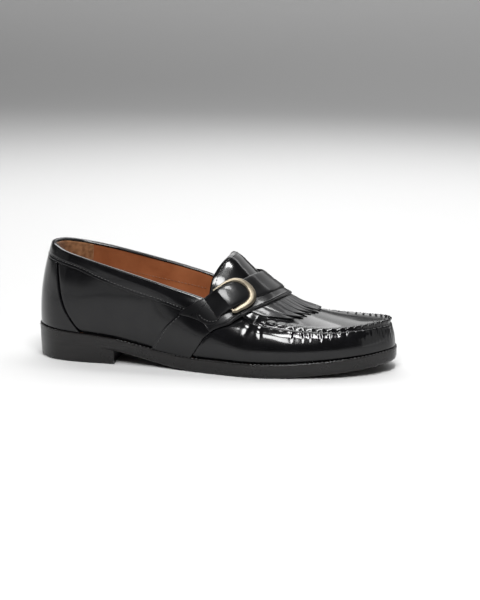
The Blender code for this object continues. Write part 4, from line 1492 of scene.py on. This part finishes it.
def seam_loops():
    """Loops of thread where the apron seam is drawn in, on both sides of the toe."""
    points, ups, acrosses = [], [], []
    one = np.ones(1)
    for side in (-1, 1):
        phases = SEAM_PHASES[side]
        for count in range(int(phases.max())):
            t = np.interp(-(count + 0.5), -phases, SEAM_MARKS)
            if seam_fade(t) < 0.5:
                continue
            tau = side * t * one
            here = wall(tau, one)[0]
            below = wall(tau, 0.96 * one)[0]
            inside = instep(t * one, side * 0.94 * one)[0]
            along = wall(tau + 0.002 * side, one)[0] - here
            across = unit(unit(inside - here) - unit(below - here))
            up = np.cross(along, across)
            up = unit(up * np.sign(up[2]))
            points.append(here + up * LOOP_LIFT)
            ups.append(up)
            acrosses.append(across)
    base = bpy.data.meshes.new("seam_spots")
    base.from_pydata(in_frame(np.array(points)), [], [])
    for name, vectors in (("up", ups), ("across", acrosses)):
        layer = base.attributes.new(name, "FLOAT_VECTOR", "POINT")
        layer.data.foreach_set("vector", np.array(vectors, np.float32).ravel())
    sizes = {"Span": LOOP_SPAN * MM, "Rise": LOOP_RISE * MM, "Thickness": LOOP_THICKNESS * MM}
    grown("seam_threads", SEAM_THREADS, base, {**sizes, "Thread": BLACK_THREAD_PAINTED_SHEEN})


# The shoe

add_piece("polished_upper", polished_upper(), POLISHED, ["upper"])
add_piece("lining", lining(), TAN)
add_piece("heel_grip", heel_grip(), SUEDE)
add_piece("collar_band_leather", collar_band(), POLISHED, ["collar_band"])
add_piece("counter_leather", counter(), POLISHED, ["counter"])
add_piece("saddle_leather", saddle(), STRAP_BLACK, ["saddle"])
add_piece("saddle_outer_leather", saddle_side(-1), POLISHED, ["saddle_outer_side"])
add_piece("saddle_inner_leather", saddle_side(1), POLISHED, ["saddle_inner_side"])
add_piece("strap_leather", strap(), STRAP_BLACK, ["strap"])
add_piece("fringe", kiltie(), FRINGE_BLACK, ["kiltie"])
add_piece("tab_leather", buckle_tab(), STRAP_BLACK, ["buckle_tab"])
add_piece("gold_buckle", buckle(), GOLD, ["buckle"], sharp=80.0)
add_piece("sole", outsole(), SOLE_FINISH, ["outsole"], mask="under")
add_piece("stacked_heel", heel(), HEEL_FINISH, ["heel"], mask="under")
add_piece("sock", insole(), TAN_SOCK, ["insole"])
stitches("collar_stitches", [collar_row(-1), collar_row(1)], BLACK_THREAD_PAINTED_SHEEN)
stitches("saddle_stitches", [saddle_row(-1), saddle_row(1)], BLACK_THREAD_PAINTED_SHEEN)
stitches("tongue_stitches", [tongue_row()], BLACK_THREAD_PAINTED_SHEEN)
stitches("tab_stitches", [tab_row()], BLACK_THREAD_PAINTED_SHEEN, step=2.2, length=1.6)
stitches("lining_stitches", [lining_row(-1), lining_row(1)], TAN_THREAD)
stitches("welt_stitches", [welt_row()], BLACK_THREAD_PAINTED_SHEEN, step=3.0, length=2.3, thickness=0.7)
seam_loops()


# Floor, lights and camera

CAMERA_TARGET = Vector((0.00485, 0.0588, 0.033435))
CAMERA_AZIMUTH = np.radians(13.986)
CAMERA_ELEVATION = np.radians(12.092)
CAMERA_DISTANCE = 1.1871
CAMERA_LENS = 91.83
SHOE_MIDDLE = (0.0, 0.0, 0.03)
PAPER_GREY = (0.47, 0.47, 0.47, 1.0)
WHITE = (1.0, 1.0, 1.0, 1.0)

# Brightness of the room below and above the floor's level, and where the one turns into the other
ROOM_BELOW = 0.9
ROOM_ABOVE = 0.09
ROOM_EDGE = (0.02, 0.07)

# Softboxes: name, place, aim, width, height, radiance
LIGHTS = (
    ("key", (0.10, -0.86, 0.91), (0.05, -0.04, 0.035), 0.38, 0.40, 30.0),
    ("key_toe", (0.28, -0.43, 1.148), (0.055, -0.04, 0.035), 0.27, 0.28, 40.0),
    ("back", (0.44, 0.94, 0.94), SHOE_MIDDLE, 2.0, 1.1, 1.5),
    ("back_high", (0.06, 0.78, 1.20), (0.09, 0.0, 0.036), 0.5, 0.9, 3.6),
    ("back_left", (-0.62, 0.74, 1.18), SHOE_MIDDLE, 1.0, 0.7, 5.0),
    ("heel_side", (-1.3, -0.45, 0.25), SHOE_MIDDLE, 1.0, 0.5, 0.15),
    ("toe_side", (1.35, -0.2, 0.3), SHOE_MIDDLE, 1.0, 0.6, 0.6),
    ("sweep_light", (0.0, 0.9, 2.6), (0.0, 2.8, 0.5), 4.0, 0.8, 5.0),
)


def paper_floor():
    """Pale paper that runs from before the shoe to far behind it and sweeps up there."""
    bend = np.linspace(0, np.pi / 2, 13)[1:]
    depth = np.concatenate([np.linspace(-2.0, 2.0, 9), 2.0 + 0.8 * np.sin(bend), [2.8]])
    height = np.concatenate([np.zeros(9), 0.3 - 0.3 * np.cos(bend), [0.42]])
    left = -0.7 - 0.5 * np.maximum(depth, 0.0)
    share = np.linspace(0, 1, 9)
    points = [(x + (4.0 - x) * a, y, z) for a in share for x, y, z in zip(left, depth, height)]
    mesh = bpy.data.meshes.new("paper")
    mesh.from_pydata(points, [], grid(len(share), len(depth)))
    mesh.shade_smooth()
    made, tree, shader = new_finish("white_paper")
    plug(tree, shader, {"Base Color": PAPER_GREY, "Roughness": 0.9, "Specular IOR Level": 0.0})
    mesh.materials.append(made)
    floor = place_object("paper", mesh)


def softbox(name, place, aim, width, height, radiance):
    """Rectangular light that shines from its place towards the aim, as bright as the radiance."""
    light = bpy.data.lights.new(name, "AREA")
    light.shape = "RECTANGLE"
    light.size = width
    light.size_y = height
    light.energy = radiance * np.pi * width * height
    lamp = place_object(name, light)
    lamp.location = place
    lamp.rotation_euler = (Vector(aim) - Vector(place)).to_track_quat("-Z", "Y").to_euler()


def camera():
    """Camera at the photograph's viewing angle."""
    data = bpy.data.cameras.new("camera")
    data.sensor_width = 36.0
    data.lens = CAMERA_LENS
    aside = np.cos(CAMERA_ELEVATION)
    back = Vector(
        (
            np.sin(CAMERA_AZIMUTH) * aside,
            -np.cos(CAMERA_AZIMUTH) * aside,
            np.sin(CAMERA_ELEVATION),
        )
    )
    eye = place_object("camera", data)
    eye.location = CAMERA_TARGET + back * CAMERA_DISTANCE
    eye.rotation_euler = back.to_track_quat("Z", "Y").to_euler()
    bpy.context.scene.camera = eye


def studio():
    """Dim room above the floor's level, pale below it."""
    world = bpy.data.worlds.new("studio")
    world.use_nodes = True
    tree = world.node_tree
    direction = node(tree, "ShaderNodeTexCoord").outputs["Generated"]
    height = node(tree, "ShaderNodeSeparateXYZ", {"Vector": direction}).outputs["Z"]
    strength = spread(tree, height, ROOM_BELOW, ROOM_ABOVE, *ROOM_EDGE)
    plug(tree, tree.nodes["Background"], {"Color": WHITE, "Strength": strength})
    bpy.context.scene.world = world


paper_floor()
for light in LIGHTS:
    softbox(*light)
camera()
studio()
bpy.context.scene.view_settings.view_transform = "Standard"
